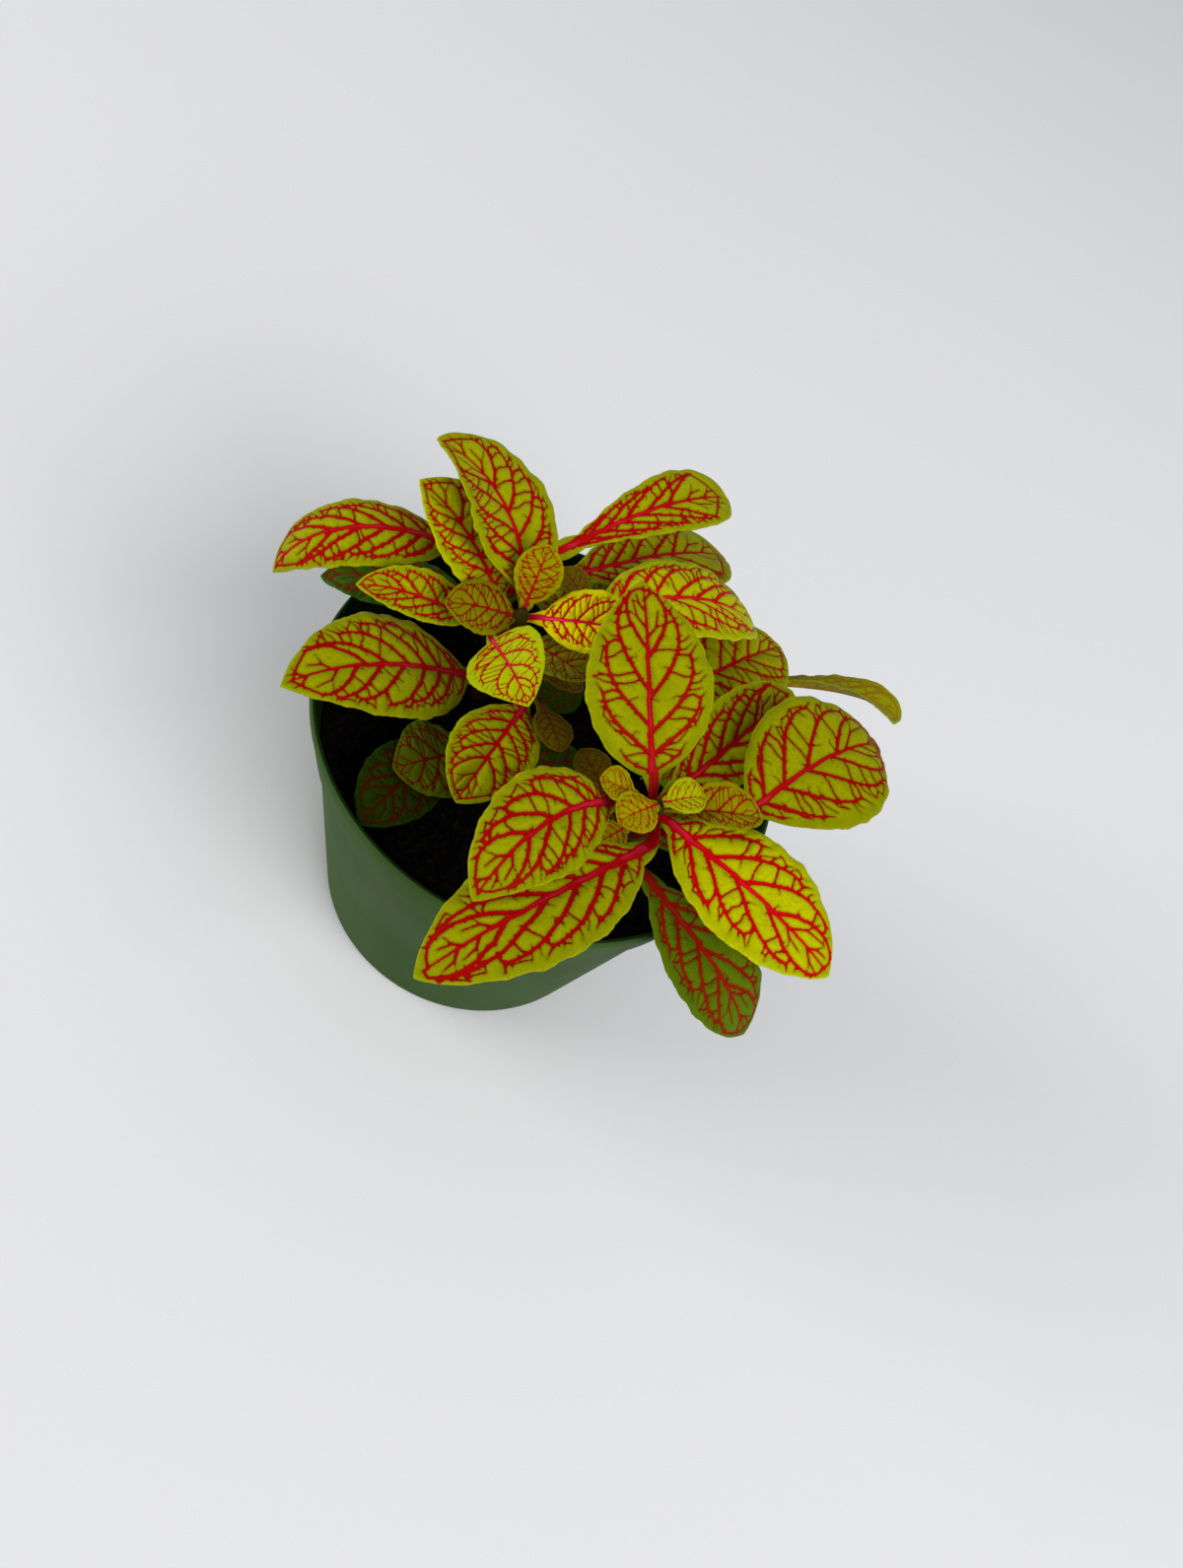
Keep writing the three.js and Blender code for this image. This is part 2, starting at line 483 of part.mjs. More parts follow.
/** The ring round a blade: its waved and quilted top, then its underside with the midrib. */
function bladeRing(leaf, midrib, row, rows, sides) {
  const share = (1 - Math.cos(Math.PI * row / rows)) / 2;
  const slant = ROW_SLANT * 4 * share * (1 - share);
  const turn = row % 2 === 0 ? 1 : -1;
  const taper = Math.sin(Math.PI * share);
  const points = sides.map((side) => {
    const spread = Math.abs(side);
    const along = share + slant * spread;
    const narrowest = row === rows ? TIP_HALF_WIDTH : PETIOLE_HALF_WIDTH * (1 - share);
    const half = Math.max(halfWidth(leaf, along), narrowest);
    const { up } = leafFrame(leaf, leaf.petiole + leaf.length * along);
    const depth = spread === 1 ? WAVE : QUILT * Math.sin(Math.PI * spread);
    const relief = taper * turn * leaf.width * depth;
    const middle = bladePoint(leaf, midrib, along, side, half).addScaledVector(up, relief);
    const rib = spread === 0 ? MIDRIB_DROP * (1 - share) : 0;
    return {
      top: middle.clone().addScaledVector(up, BLADE_THICKNESS / 2),
      under: middle.clone().addScaledVector(up, -BLADE_THICKNESS / 2 - rib),
    };
  });
  return [...points.map((point) => point.top), ...points.map((point) => point.under).reverse()];
}

/** How far from the stem's axis a stalk begins: inside it if fused, or just clear of it. */
function stalkStart(leaf) {
  if (leaf.fused) return 0;
  const pitch = THREE.MathUtils.degToRad(Math.abs(leaf.pitch));
  const clear = stemRadius(STEMS[leaf.stem], leaf.height) + STALK_CLEARANCE;
  return (clear + PETIOLE_HALF_HEIGHT * Math.sin(pitch)) / Math.cos(pitch);
}

/** A leaf: its stalk and its thin, arched, waved blade as one closed body. */
function leafGeometry(leaf) {
  const { rows, across } = leaf.length >= LARGE_LEAF ? LARGE_GRID : SMALL_GRID;
  const sides = Array.from({ length: 2 * across + 1 }, (_, k) => (k - across) / across);
  const midrib = midribOf(leaf);
  const start = stalkStart(leaf);
  const rings = [petioleRing(leaf, midrib, start, sides)];
  if (leaf.petiole - start > LONG_PETIOLE) {
    rings.push(petioleRing(leaf, midrib, (start + leaf.petiole) / 2, sides));
  }
  for (let row = leaf.petiole > start + 1 ? 0 : 1; row <= rows; row += 1) {
    rings.push(bladeRing(leaf, midrib, row, rows, sides));
  }
  const columns = sides.length;
  const onTheLeft = (k) => k < across || (k >= 2 * columns - 1 - across && k < 2 * columns - 1);
  return loft(rings, (k) => !onTheLeft(k));
}

// ---- the whole plant ----

const ROUGHNESS = { pot: 0.45, peat: 0.95, stem: 0.7, leaf: 0.55 };

function named(name, geometry, finish) {
  const mesh = new THREE.Mesh(geometry, finish);
  mesh.name = name;
  return mesh;
}

const plant = new THREE.Group();
plant.add(named('pot', potGeometry(), material('pot', ROUGHNESS.pot)));
plant.add(named('soil', soilGeometry(), material('peat', ROUGHNESS.peat)));
for (const name of Object.keys(STEMS)) {
  plant.add(named(`stem_${name}`, stemGeometry(name), material('stem', ROUGHNESS.stem)));
}
for (const leaf of LEAVES.filter((row) => !row.fused)) {
  plant.add(named(leaf.name, leafGeometry(leaf), material(leaf.kind, ROUGHNESS.leaf)));
}

export default plant;
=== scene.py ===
"""A potted nerve plant: lime leaves with red nets of veins, in a green nursery pot.

Shapes are worked out in millimetres, and each mesh is made in metres. Headings are
degrees counter-clockwise from +X, and pitches are degrees above level.
"""

import logging
import math
import random
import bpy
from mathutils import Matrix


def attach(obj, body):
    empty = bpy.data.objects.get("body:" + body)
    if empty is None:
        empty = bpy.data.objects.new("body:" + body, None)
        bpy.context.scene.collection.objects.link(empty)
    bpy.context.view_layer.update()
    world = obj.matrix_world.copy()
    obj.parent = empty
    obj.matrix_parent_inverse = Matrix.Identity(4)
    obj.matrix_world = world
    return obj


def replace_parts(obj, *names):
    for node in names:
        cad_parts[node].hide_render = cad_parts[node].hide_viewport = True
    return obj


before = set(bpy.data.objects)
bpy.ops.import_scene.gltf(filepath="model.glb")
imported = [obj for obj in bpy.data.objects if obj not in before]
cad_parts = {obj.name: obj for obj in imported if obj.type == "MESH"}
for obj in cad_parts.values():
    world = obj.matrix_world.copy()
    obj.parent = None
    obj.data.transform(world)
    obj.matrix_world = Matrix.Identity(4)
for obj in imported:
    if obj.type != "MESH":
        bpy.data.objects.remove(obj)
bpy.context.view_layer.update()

import zlib
from collections.abc import Callable, Sequence
from dataclasses import dataclass, field
from enum import Enum

import bmesh
import bpy
import numpy as np
from mathutils import Matrix, Vector, noise

LOG = logging.getLogger("nerve_plant")
MM = 0.001
BODY = "root"
PHOTO_WIDTH, PHOTO_HEIGHT = 1200, 1591
SOIL_TOP = 64

Socket = bpy.types.NodeSocket


class Rank(Enum):
    """How thin a vein is, from 0 for the midrib to 1 for the finest thread."""

    MIDRIB = 0.0
    LATERAL = 0.35
    LINK = 0.5
    CROSS = 0.7
    OUTER = 0.75
    BRIDGE = 0.8
    TWIG = 0.9
    THORN = 1.0


# ---- colours and materials ----


def linear(colour: str) -> tuple[float, float, float, float]:
    """Turn an sRGB hex colour into linear light.

    Args:
        colour: Six hex digits, with or without a leading #.

    Returns:
        Red, green and blue in linear light, and an alpha of 1.
    """
    digits = colour.lstrip("#")
    shares = [int(digits[k:k + 2], 16) / 255 for k in (0, 2, 4)]
    red, green, blue = (c / 12.92 if c <= 0.04045 else ((c + 0.055) / 1.055) ** 2.4 for c in shares)
    return red, green, blue, 1.0


def per_metre(millimetres: float) -> float:
    """The scale of a pattern whose features are that many millimetres apart."""
    return 1 / (millimetres * MM)


def feed(socket: Socket, value: float | str | Socket) -> None:
    """Give an input its value, its hex colour or the output that feeds it.

    Args:
        socket: The input.
        value: A number, a hex colour or an output.
    """
    if isinstance(value, Socket):
        socket.id_data.links.new(value, socket)
    else:
        socket.default_value = linear(value) if isinstance(value, str) else value


@dataclass(frozen=True)
class Coat:
    """A colour that shows more and more as a value passes from start to end, up to most."""

    colour: str | Socket
    value: Socket
    start: float
    end: float
    most: float | Socket = 1.0


@dataclass(frozen=True)
class Finish:
    """What every finish has: the name of the real material and how it takes light."""

    name: str
    ior: float = 1.5
    roughness: float = 0.5
    specular: float = 0.5


class Surface:
    """A material in the making, with its node tree and its shader."""

    # The Mix node names its sockets alike for each kind of data, so colours go by number.
    SHARE, UNDER, OVER, MIXED = 0, 6, 7, 2

    def __init__(self, finish: Finish) -> None:
        """Start the material with its plain shader.

        Args:
            finish: The finish, for its name and how it takes light.
        """
        self.material = bpy.data.materials.new(finish.name)
        self.material.use_nodes = True
        self.tree = self.material.node_tree
        self.shader = self.tree.nodes["Principled BSDF"]
        self.set("IOR", finish.ior)
        self.set("Roughness", finish.roughness)
        self.set("Specular IOR Level", finish.specular)

    def set(self, label: str, value: float | str | Socket) -> None:
        """Feed one of the shader's own inputs."""
        feed(self.shader.inputs[label], value)

    def add_node(self, kind: str, settings: dict | None = None,
                 inputs: dict | None = None) -> bpy.types.Node:
        """Add a node with its settings and its links.

        Args:
            kind: The node's type name after "ShaderNode".
            settings: Values of the node's own properties.
            inputs: Each input's name or number with what feeds it.

        Returns:
            The node.
        """
        node = self.tree.nodes.new("ShaderNode" + kind)
        for label, value in (settings or {}).items():
            setattr(node, label, value)
        for label, value in (inputs or {}).items():
            feed(node.inputs[label], value)
        return node

    def mottle(self, size_mm: float, detail: float = 2.0) -> Socket:
        """Add a cloudy value from 0 to 1.

        Args:
            size_mm: How far apart its patches are, in millimetres.
            detail: How many finer layers it has.

        Returns:
            The value's output.
        """
        place = self.add_node("TexCoord").outputs["Object"]
        cloud = self.add_node("TexNoise", None, {
            "Vector": place, "Scale": per_metre(size_mm), "Detail": detail})
        return cloud.outputs["Fac"]

    def blend(self, share: Socket, under: str | Socket, over: str | Socket) -> Socket:
        """Blend two colours.

        Args:
            share: How much of the second colour shows, 0 to 1.
            under: The first colour, a hex value or an output.
            over: The second colour.

        Returns:
            The blended colour.
        """
        mix = self.add_node("Mix", {"data_type": "RGBA"}, {
            self.SHARE: share, self.UNDER: under, self.OVER: over})
        return mix.outputs[self.MIXED]

    def lay(self, under: str | Socket, *coats: Coat) -> Socket:
        """Lay coats of colour over one another.

        Args:
            under: The lowest colour, a hex value or an output.
            coats: The coats, from the lowest up.

        Returns:
            The blended colour.
        """
        for coat in coats:
            share = self.add_node("MapRange", {"interpolation_type": "SMOOTHSTEP"}, {
                "Value": coat.value, "From Min": coat.start, "From Max": coat.end, "To Max": coat.most})
            under = self.blend(share.outputs["Result"], under, coat.colour)
        return under

    def relief(self, depth_mm: float, strength: float, *lumps: Socket) -> None:
        """Give the shader a fine relief.

        Args:
            depth_mm: How deep the relief is.
            strength: How much of it shows.
            lumps: The heights that add up to it, each 0 to 1.
        """
        height = lumps[0]
        for more in lumps[1:]:
            height = self.add_node("Math", {"operation": "ADD"}, {0: height, 1: more}).outputs[0]
        bump = self.add_node("Bump", None, {
            "Height": height, "Distance": depth_mm * MM, "Strength": strength})
        self.set("Normal", bump.outputs["Normal"])


# ---- finishes ----


@dataclass(frozen=True)
class LeafTissue(Finish):
    """Living Fittonia leaf: a soft, matt-waxy blade with coloured veins, grown and not made.

    The eye sees a lime green blade that is yellower in the middle of each small field and more
    olive beside the veins, and sharp red veins whose raised middle catches a pink light, which is
    painted into the colour as a pink highlight. The sizes of its patterns are in millimetres.
    """

    specular: float = 0.05
    sheen: str = "#FFF06A"
    field: str = "#A2A200"
    beside_vein: str = "#868500"
    patch: str = "#848800"
    margin: str = "#7E8600"
    rim: str = "#A6A60A"
    dry: str = "#8A5410"
    speck: str = "#2C2A08"
    vein: str = "#A20105"
    vein_border: str = "#780200"
    rib: str = "#AE020C"
    # A painted pink highlight along the raised middle of the thicker veins.
    ridge: str = "#D22A48"
    thread: str = "#800800"
    vein_strength: float = 1.0
    patch_size: float = 6.0
    fleck_size: float = 0.8
    grain_size: float = 0.35
    pebble_size: float = 0.9
    pebble_depth: float = 0.1
    speck_gap: float = 5.5
    fray_size: float = 0.5
    fray: float = 0.15
    gleam_size: float = 9.0

    CARRIED = ("vein_gap", "vein_rank", "rim_gap", "dry", "shade")

    def material(self) -> bpy.types.Material:
        """Make the leaf's material, which reads the values that each leaf's mesh carries.

        Returns:
            The material.
        """
        surface = Surface(self)
        gap, rank, rim_gap, dry, shade = (
            surface.add_node("Attribute", {"attribute_name": label}).outputs["Fac"]
            for label in self.CARRIED)
        # Cells and hairs are too fine to show, so they are drawn as a grain of 0.35 mm.
        grain = surface.mottle(self.grain_size, 3.0)
        blade = self.blade(surface, gap, rim_gap, grain)
        # A vein's edge wanders by a tenth of a millimetre or so.
        wander = surface.add_node("MapRange", None, {
            "Value": surface.mottle(self.fray_size), "To Min": -self.fray, "To Max": self.fray})
        frayed = surface.add_node("Math", {"operation": "ADD"}, {0: gap, 1: wander.outputs["Result"]})
        veined = surface.lay(
            blade, Coat(self.veins(surface, gap, rank), frayed.outputs[0], 0.08, -0.06, self.vein_strength))
        # A dried tip is brown right through its veins.
        dried = surface.blend(dry, veined, self.dry)
        # Each leaf carries its own lightness: partly its own tone, partly painted light and shade for how
        # it lies in the light.
        lit = surface.add_node("HueSaturation", None, {"Value": shade, "Color": dried})
        surface.set("Base Color", lit.outputs["Color"])
        surface.set("Specular Tint", self.sheen)
        surface.relief(self.pebble_depth, 0.8, grain, surface.mottle(self.pebble_size))
        return surface.material

    def blade(self, surface: Surface, gap: Socket, rim_gap: Socket, grain: Socket) -> Socket:
        """Colour the blade between its veins, where each field is yellower away from them.

        Args:
            surface: The leaf's surface.
            gap: The gap to the nearest vein.
            rim_gap: The gap to the rim.
            grain: The blade's grain.

        Returns:
            The colour.
        """
        cells = surface.add_node("TexVoronoi", None, {
            "Vector": surface.add_node("TexCoord").outputs["Object"], "Scale": per_metre(self.speck_gap)})
        return surface.lay(
            self.beside_vein,
            Coat(self.field, gap, 0.05, 0.55),
            Coat(self.patch, surface.mottle(self.patch_size), 0.45, 0.75, 0.6),
            Coat(self.margin, rim_gap, 3.4, 1.2, 0.55),
            Coat(self.rim, rim_gap, 0.5, 0.15, 0.75),
            Coat(self.patch, grain, 0.35, 0.65, 0.55),
            Coat(self.margin, surface.mottle(self.fleck_size, 3.0), 0.5, 0.66, 0.5),
            Coat(self.speck, cells.outputs["Distance"], 0.04, 0.025, 0.75))

    def veins(self, surface: Surface, gap: Socket, rank: Socket) -> Socket:
        """Colour the veins: the thicker, the redder, with a dark border and a painted pink highlight on the
        ridge.

        Args:
            surface: The leaf's surface.
            gap: The gap to the nearest vein's edge, negative inside it.
            rank: That vein's rank.

        Returns:
            The colour.
        """
        tint = surface.add_node("ValToRGB", None, {"Fac": rank})
        stops = tint.color_ramp.elements
        for stop, colour in zip(stops, (self.rib, self.thread)):
            stop.color = linear(colour)
        stops.new(Rank.LATERAL.value).color = linear(self.vein)
        # The painted pink highlight shows only in patches along the middle of the thicker veins.
        gleam = surface.add_node("MapRange", {"interpolation_type": "SMOOTHSTEP"}, {
            "Value": surface.mottle(self.gleam_size), "From Min": 0.42, "From Max": 0.6, "To Max": 0.6})
        return surface.lay(
            tint.outputs["Color"],
            Coat(self.vein_border, gap, -0.10, 0.02),
            Coat(self.ridge, gap, -0.3, -0.6, gleam.outputs["Result"]))


@dataclass(frozen=True)
class StemTissue(Finish):
    """Living herb stem: soft green, flushed with red in patches of 4 mm, with a dull bloom."""

    specular: float = 0.04
    flesh: str = "#34300A"
    flush: str = "#3A1208"
    flush_size: float = 4.0
    bloom_size: float = 0.4

    def material(self) -> bpy.types.Material:
        """Make the stem's material.

        Returns:
            The material.
        """
        surface = Surface(self)
        flushed = Coat(self.flush, surface.mottle(self.flush_size), 0.4, 0.7)
        surface.set("Base Color", surface.lay(self.flesh, flushed))
        surface.relief(0.08, 0.5, surface.mottle(self.bloom_size))
        return surface.material


@dataclass(frozen=True)
class Peat(Finish):
    """Moist potting peat: nearly black, matt and crumbly, with a few brown fibres."""

    specular: float = 0.06
    dark: str = "#050403"
    brown: str = "#1A110A"
    fibre_size: float = 1.4
    crumb_size: float = 0.5

    def material(self) -> bpy.types.Material:
        """Make the peat's material.

        Returns:
            The material.
        """
        surface = Surface(self)
        fibres = Coat(self.brown, surface.mottle(self.fibre_size, 4.0), 0.5, 0.72)
        surface.set("Base Color", surface.lay(self.dark, fibres))
        surface.relief(0.4, 0.8, surface.mottle(self.crumb_size, 5.0))
        return surface.material


@dataclass(frozen=True)
class Perlite(Finish):
    """Expanded perlite: dull white, brittle grains that growers mix into peat."""

    pore: str = "#B9AE98"
    white: str = "#E4DED0"
    pore_size: float = 0.6

    def material(self) -> bpy.types.Material:
        """Make the grains' material.

        Returns:
            The material.
        """
        surface = Surface(self)
        pores = surface.mottle(self.pore_size, 3.0)
        surface.set("Base Color", surface.blend(pores, self.pore, self.white))
        return surface.material


@dataclass(frozen=True)
class PotPolypropylene(Finish):
    """Injection-moulded polypropylene: dyed green through, with a fine satin skin.

    The eye sees an even green with a broad dull highlight and faint scuffs, no gloss.
    """

    specular: float = 0.01
    green: str = "#374F25"
    worn: str = "#425A2F"
    scuff_size: float = 30.0
    satin_size: float = 20.0
    # The mould's spark-eroded skin is under 0.1 mm, so it is drawn at 0.3 mm.
    skin_size: float = 0.3

    def material(self) -> bpy.types.Material:
        """Make the pot's material.

        Returns:
            The material.
        """
        surface = Surface(self)
        scuffs = Coat(self.worn, surface.mottle(self.scuff_size, 3.0), 0.4, 0.8, 0.5)
        surface.set("Base Color", surface.lay(self.green, scuffs))
        satin = surface.add_node("MapRange", {"interpolation_type": "SMOOTHSTEP"}, {
            "Value": surface.mottle(self.satin_size, 3.0), "From Min": 0.3, "From Max": 0.7,
            "To Min": self.roughness - 0.03, "To Max": self.roughness + 0.04})
        surface.set("Roughness", satin.outputs["Result"])
        surface.relief(0.02, 0.25, surface.mottle(self.skin_size))
        return surface.material


@dataclass(frozen=True)
class StudioPaper(Finish):
    """Matt background paper, pale and even."""

    specular: float = 0.1
    shade: str = "#DFDFE0"
    pale: str = "#E2E2E4"
    cloud_size: float = 300.0

    def material(self) -> bpy.types.Material:
        """Make the paper's material.

        Returns:
            The material.
        """
        surface = Surface(self)
        clouds = Coat(self.pale, surface.mottle(self.cloud_size), 0.3, 0.7, 0.3)
        surface.set("Base Color", surface.lay(self.shade, clouds))
        return surface.material


class Tone(Enum):
    """How old and how lit a leaf is, with its finish and its slot in the record."""

    LIME = ("leaf_lime", LeafTissue("Leaf, grown, lime"))
    MID = ("leaf_mid", LeafTissue(
        "Leaf, older, mid green", field="#788A00", margin="#627800", beside_vein="#6C7C00",
        patch="#687A02", rim="#748402", vein="#900C04", rib="#9C0608"))
    PALE = ("leaf_mid", LeafTissue(
        "Leaf, older, olive", field="#8E8A04", margin="#747A04", beside_vein="#868204",
        patch="#7C7C04", rim="#94900A", vein="#8A4A06", vein_border="#80500A", rib="#9A5A10",
        ridge="#A8701A", thread="#80600A", vein_strength=0.6))
    DARK = ("leaf_dark", LeafTissue(
        "Leaf, oldest, dark green", field="#5A7004", margin="#466006", beside_vein="#4E6404",
        patch="#4A5E04", rim="#587008", vein="#860A06", rib="#920608", thread="#520E02",
        vein_strength=0.95))
    # The oldest leaves' deep green, darkened further: painted shade for leaves that sit low and shaded in
    # the plant.
    DEEP = ("leaf_dark", LeafTissue(
        "Leaf, oldest, deep green", field="#467008", margin="#305A0A", beside_vein="#3C6408",
        patch="#365A08", rim="#44700C", vein="#8C0A06", rib="#960608", thread="#5A0E02",
        vein_strength=0.9))
    YOUNG = ("leaf_young", LeafTissue(
        "Leaf, young, ochre", field="#9E9200", margin="#868400", beside_vein="#928400",
        patch="#908200", rim="#989002", vein="#9C0806", thread="#740C00"))
    BRIGHT = ("leaf_bright", LeafTissue(
        "Leaf, young, bright yellow", roughness=0.48, field="#AAAE04", margin="#92A002",
        beside_vein="#9CA000", patch="#9AA402", rim="#9CA406", vein="#A80610", rib="#B40A26",
        ridge="#E05A80"))
    GOLD = ("leaf_young", LeafTissue(
        "Leaf, young, golden", roughness=0.48, field="#B8AE02", margin="#A4A000",
        beside_vein="#A89A00", patch="#AA9E00", rim="#B0A404", vein="#98080E", rib="#AC0A24",
        ridge="#E0406A"))
    BROWN = ("leaf_young", LeafTissue(
        "Leaf, young, brown-olive", field="#6C6004", margin="#5A5404", beside_vein="#605204",
        patch="#5C4E04", rim="#685C04", vein="#5E1406", rib="#6A100A", thread="#4A1404",
        vein_strength=0.85))

    @property
    def slot(self) -> str:
        """The record's material slot."""
        return self.value[0]

    @property
    def finish(self) -> LeafTissue:
        """The leaf's finish."""
        return self.value[1]


# ---- the plant's rows ----


@dataclass(frozen=True)
class Stem:
    """A stem's axis, a parabola through three points, and its radii, in millimetres."""

    foot: tuple[float, float, float]
    middle: tuple[float, float, float]
    top: tuple[float, float, float]
    root_radius: float = 1.7
    top_radius: float = 1.15

    def point(self, height: float) -> np.ndarray:
        """The point of its axis at a height.

        Args:
            height: The height above the pot's base.

        Returns:
            The point.
        """
        (x0, y0, z0), (x1, y1, z1), (x2, y2, z2) = self.foot, self.middle, self.top
        a = (height - z1) * (height - z2) / ((z0 - z1) * (z0 - z2))
        b = (height - z0) * (height - z2) / ((z1 - z0) * (z1 - z2))
        c = (height - z0) * (height - z1) / ((z2 - z0) * (z2 - z1))
        return np.array((a * x0 + b * x1 + c * x2, a * y0 + b * y1 + c * y2, height))

    def radius(self, height: float) -> float:
        """Its radius at a height."""
        share = min(max((height - SOIL_TOP) / (self.top[2] - SOIL_TOP), 0), 1)
        return self.root_radius + (self.top_radius - self.root_radius) * share


@dataclass(frozen=True)
class Leaf:
    """One leaf's place on its stem, its sizes in millimetres and its bends in degrees.

    bend turns the stalk, sweep and droop bend the blade's midrib sideways and down, roll and
    twist turn the blade about it, and fold and curl raise and lower its two halves. density is
    how closely its veins stand, shade how light its colour is beside its tone's own, partly the
    leaf's own tone and partly painted light and shade for how it lies in the light, and dry_tip
    how far its tip has dried.
    """

    name: str
    tone: Tone
    height: float
    heading: float
    petiole: float
    length: float
    width: float
    pitch: float
    droop: float
    sweep: float = 0
    roll: float = 0
    fold: float = 10
    curl: float = -10
    bend: float = 0
    twist: float = 0
    widest: float = 0.56
    density: float = 1.3
    shade: float = 1.0
    dry_tip: float = 0

    @property
    def fused(self) -> bool:
        """Whether the leaf belongs to its stem's node."""
        return self.name.startswith("bud_")

    @property
    def size(self) -> float:
        """Its length beside that of a leaf of 40 mm, for which the veins' sizes are given."""
        return self.length / 40


STEMS = {
    "left": Stem((-19, 4, 62), (-17, 0, 84), (-16, -2.5, 103)),
    "front": Stem((21, -16, 62), (25, -20, 84), (26.5, -25.5, 103)),
    "rear": Stem((0, 18, 62), (-3, 17, 82), (-7, 15, 98)),
    "low": Stem((-15, -14, 62), (-11, -12, 76), (-5, -9, 92)),
    "back_left": Stem((-25, 19, 62), (-26, 18, 76), (-27.1, 15.6, 92)),
    "back_right": Stem((15, 15, 62), (17, 17, 78), (18.2, 17.9, 84.5)),
}

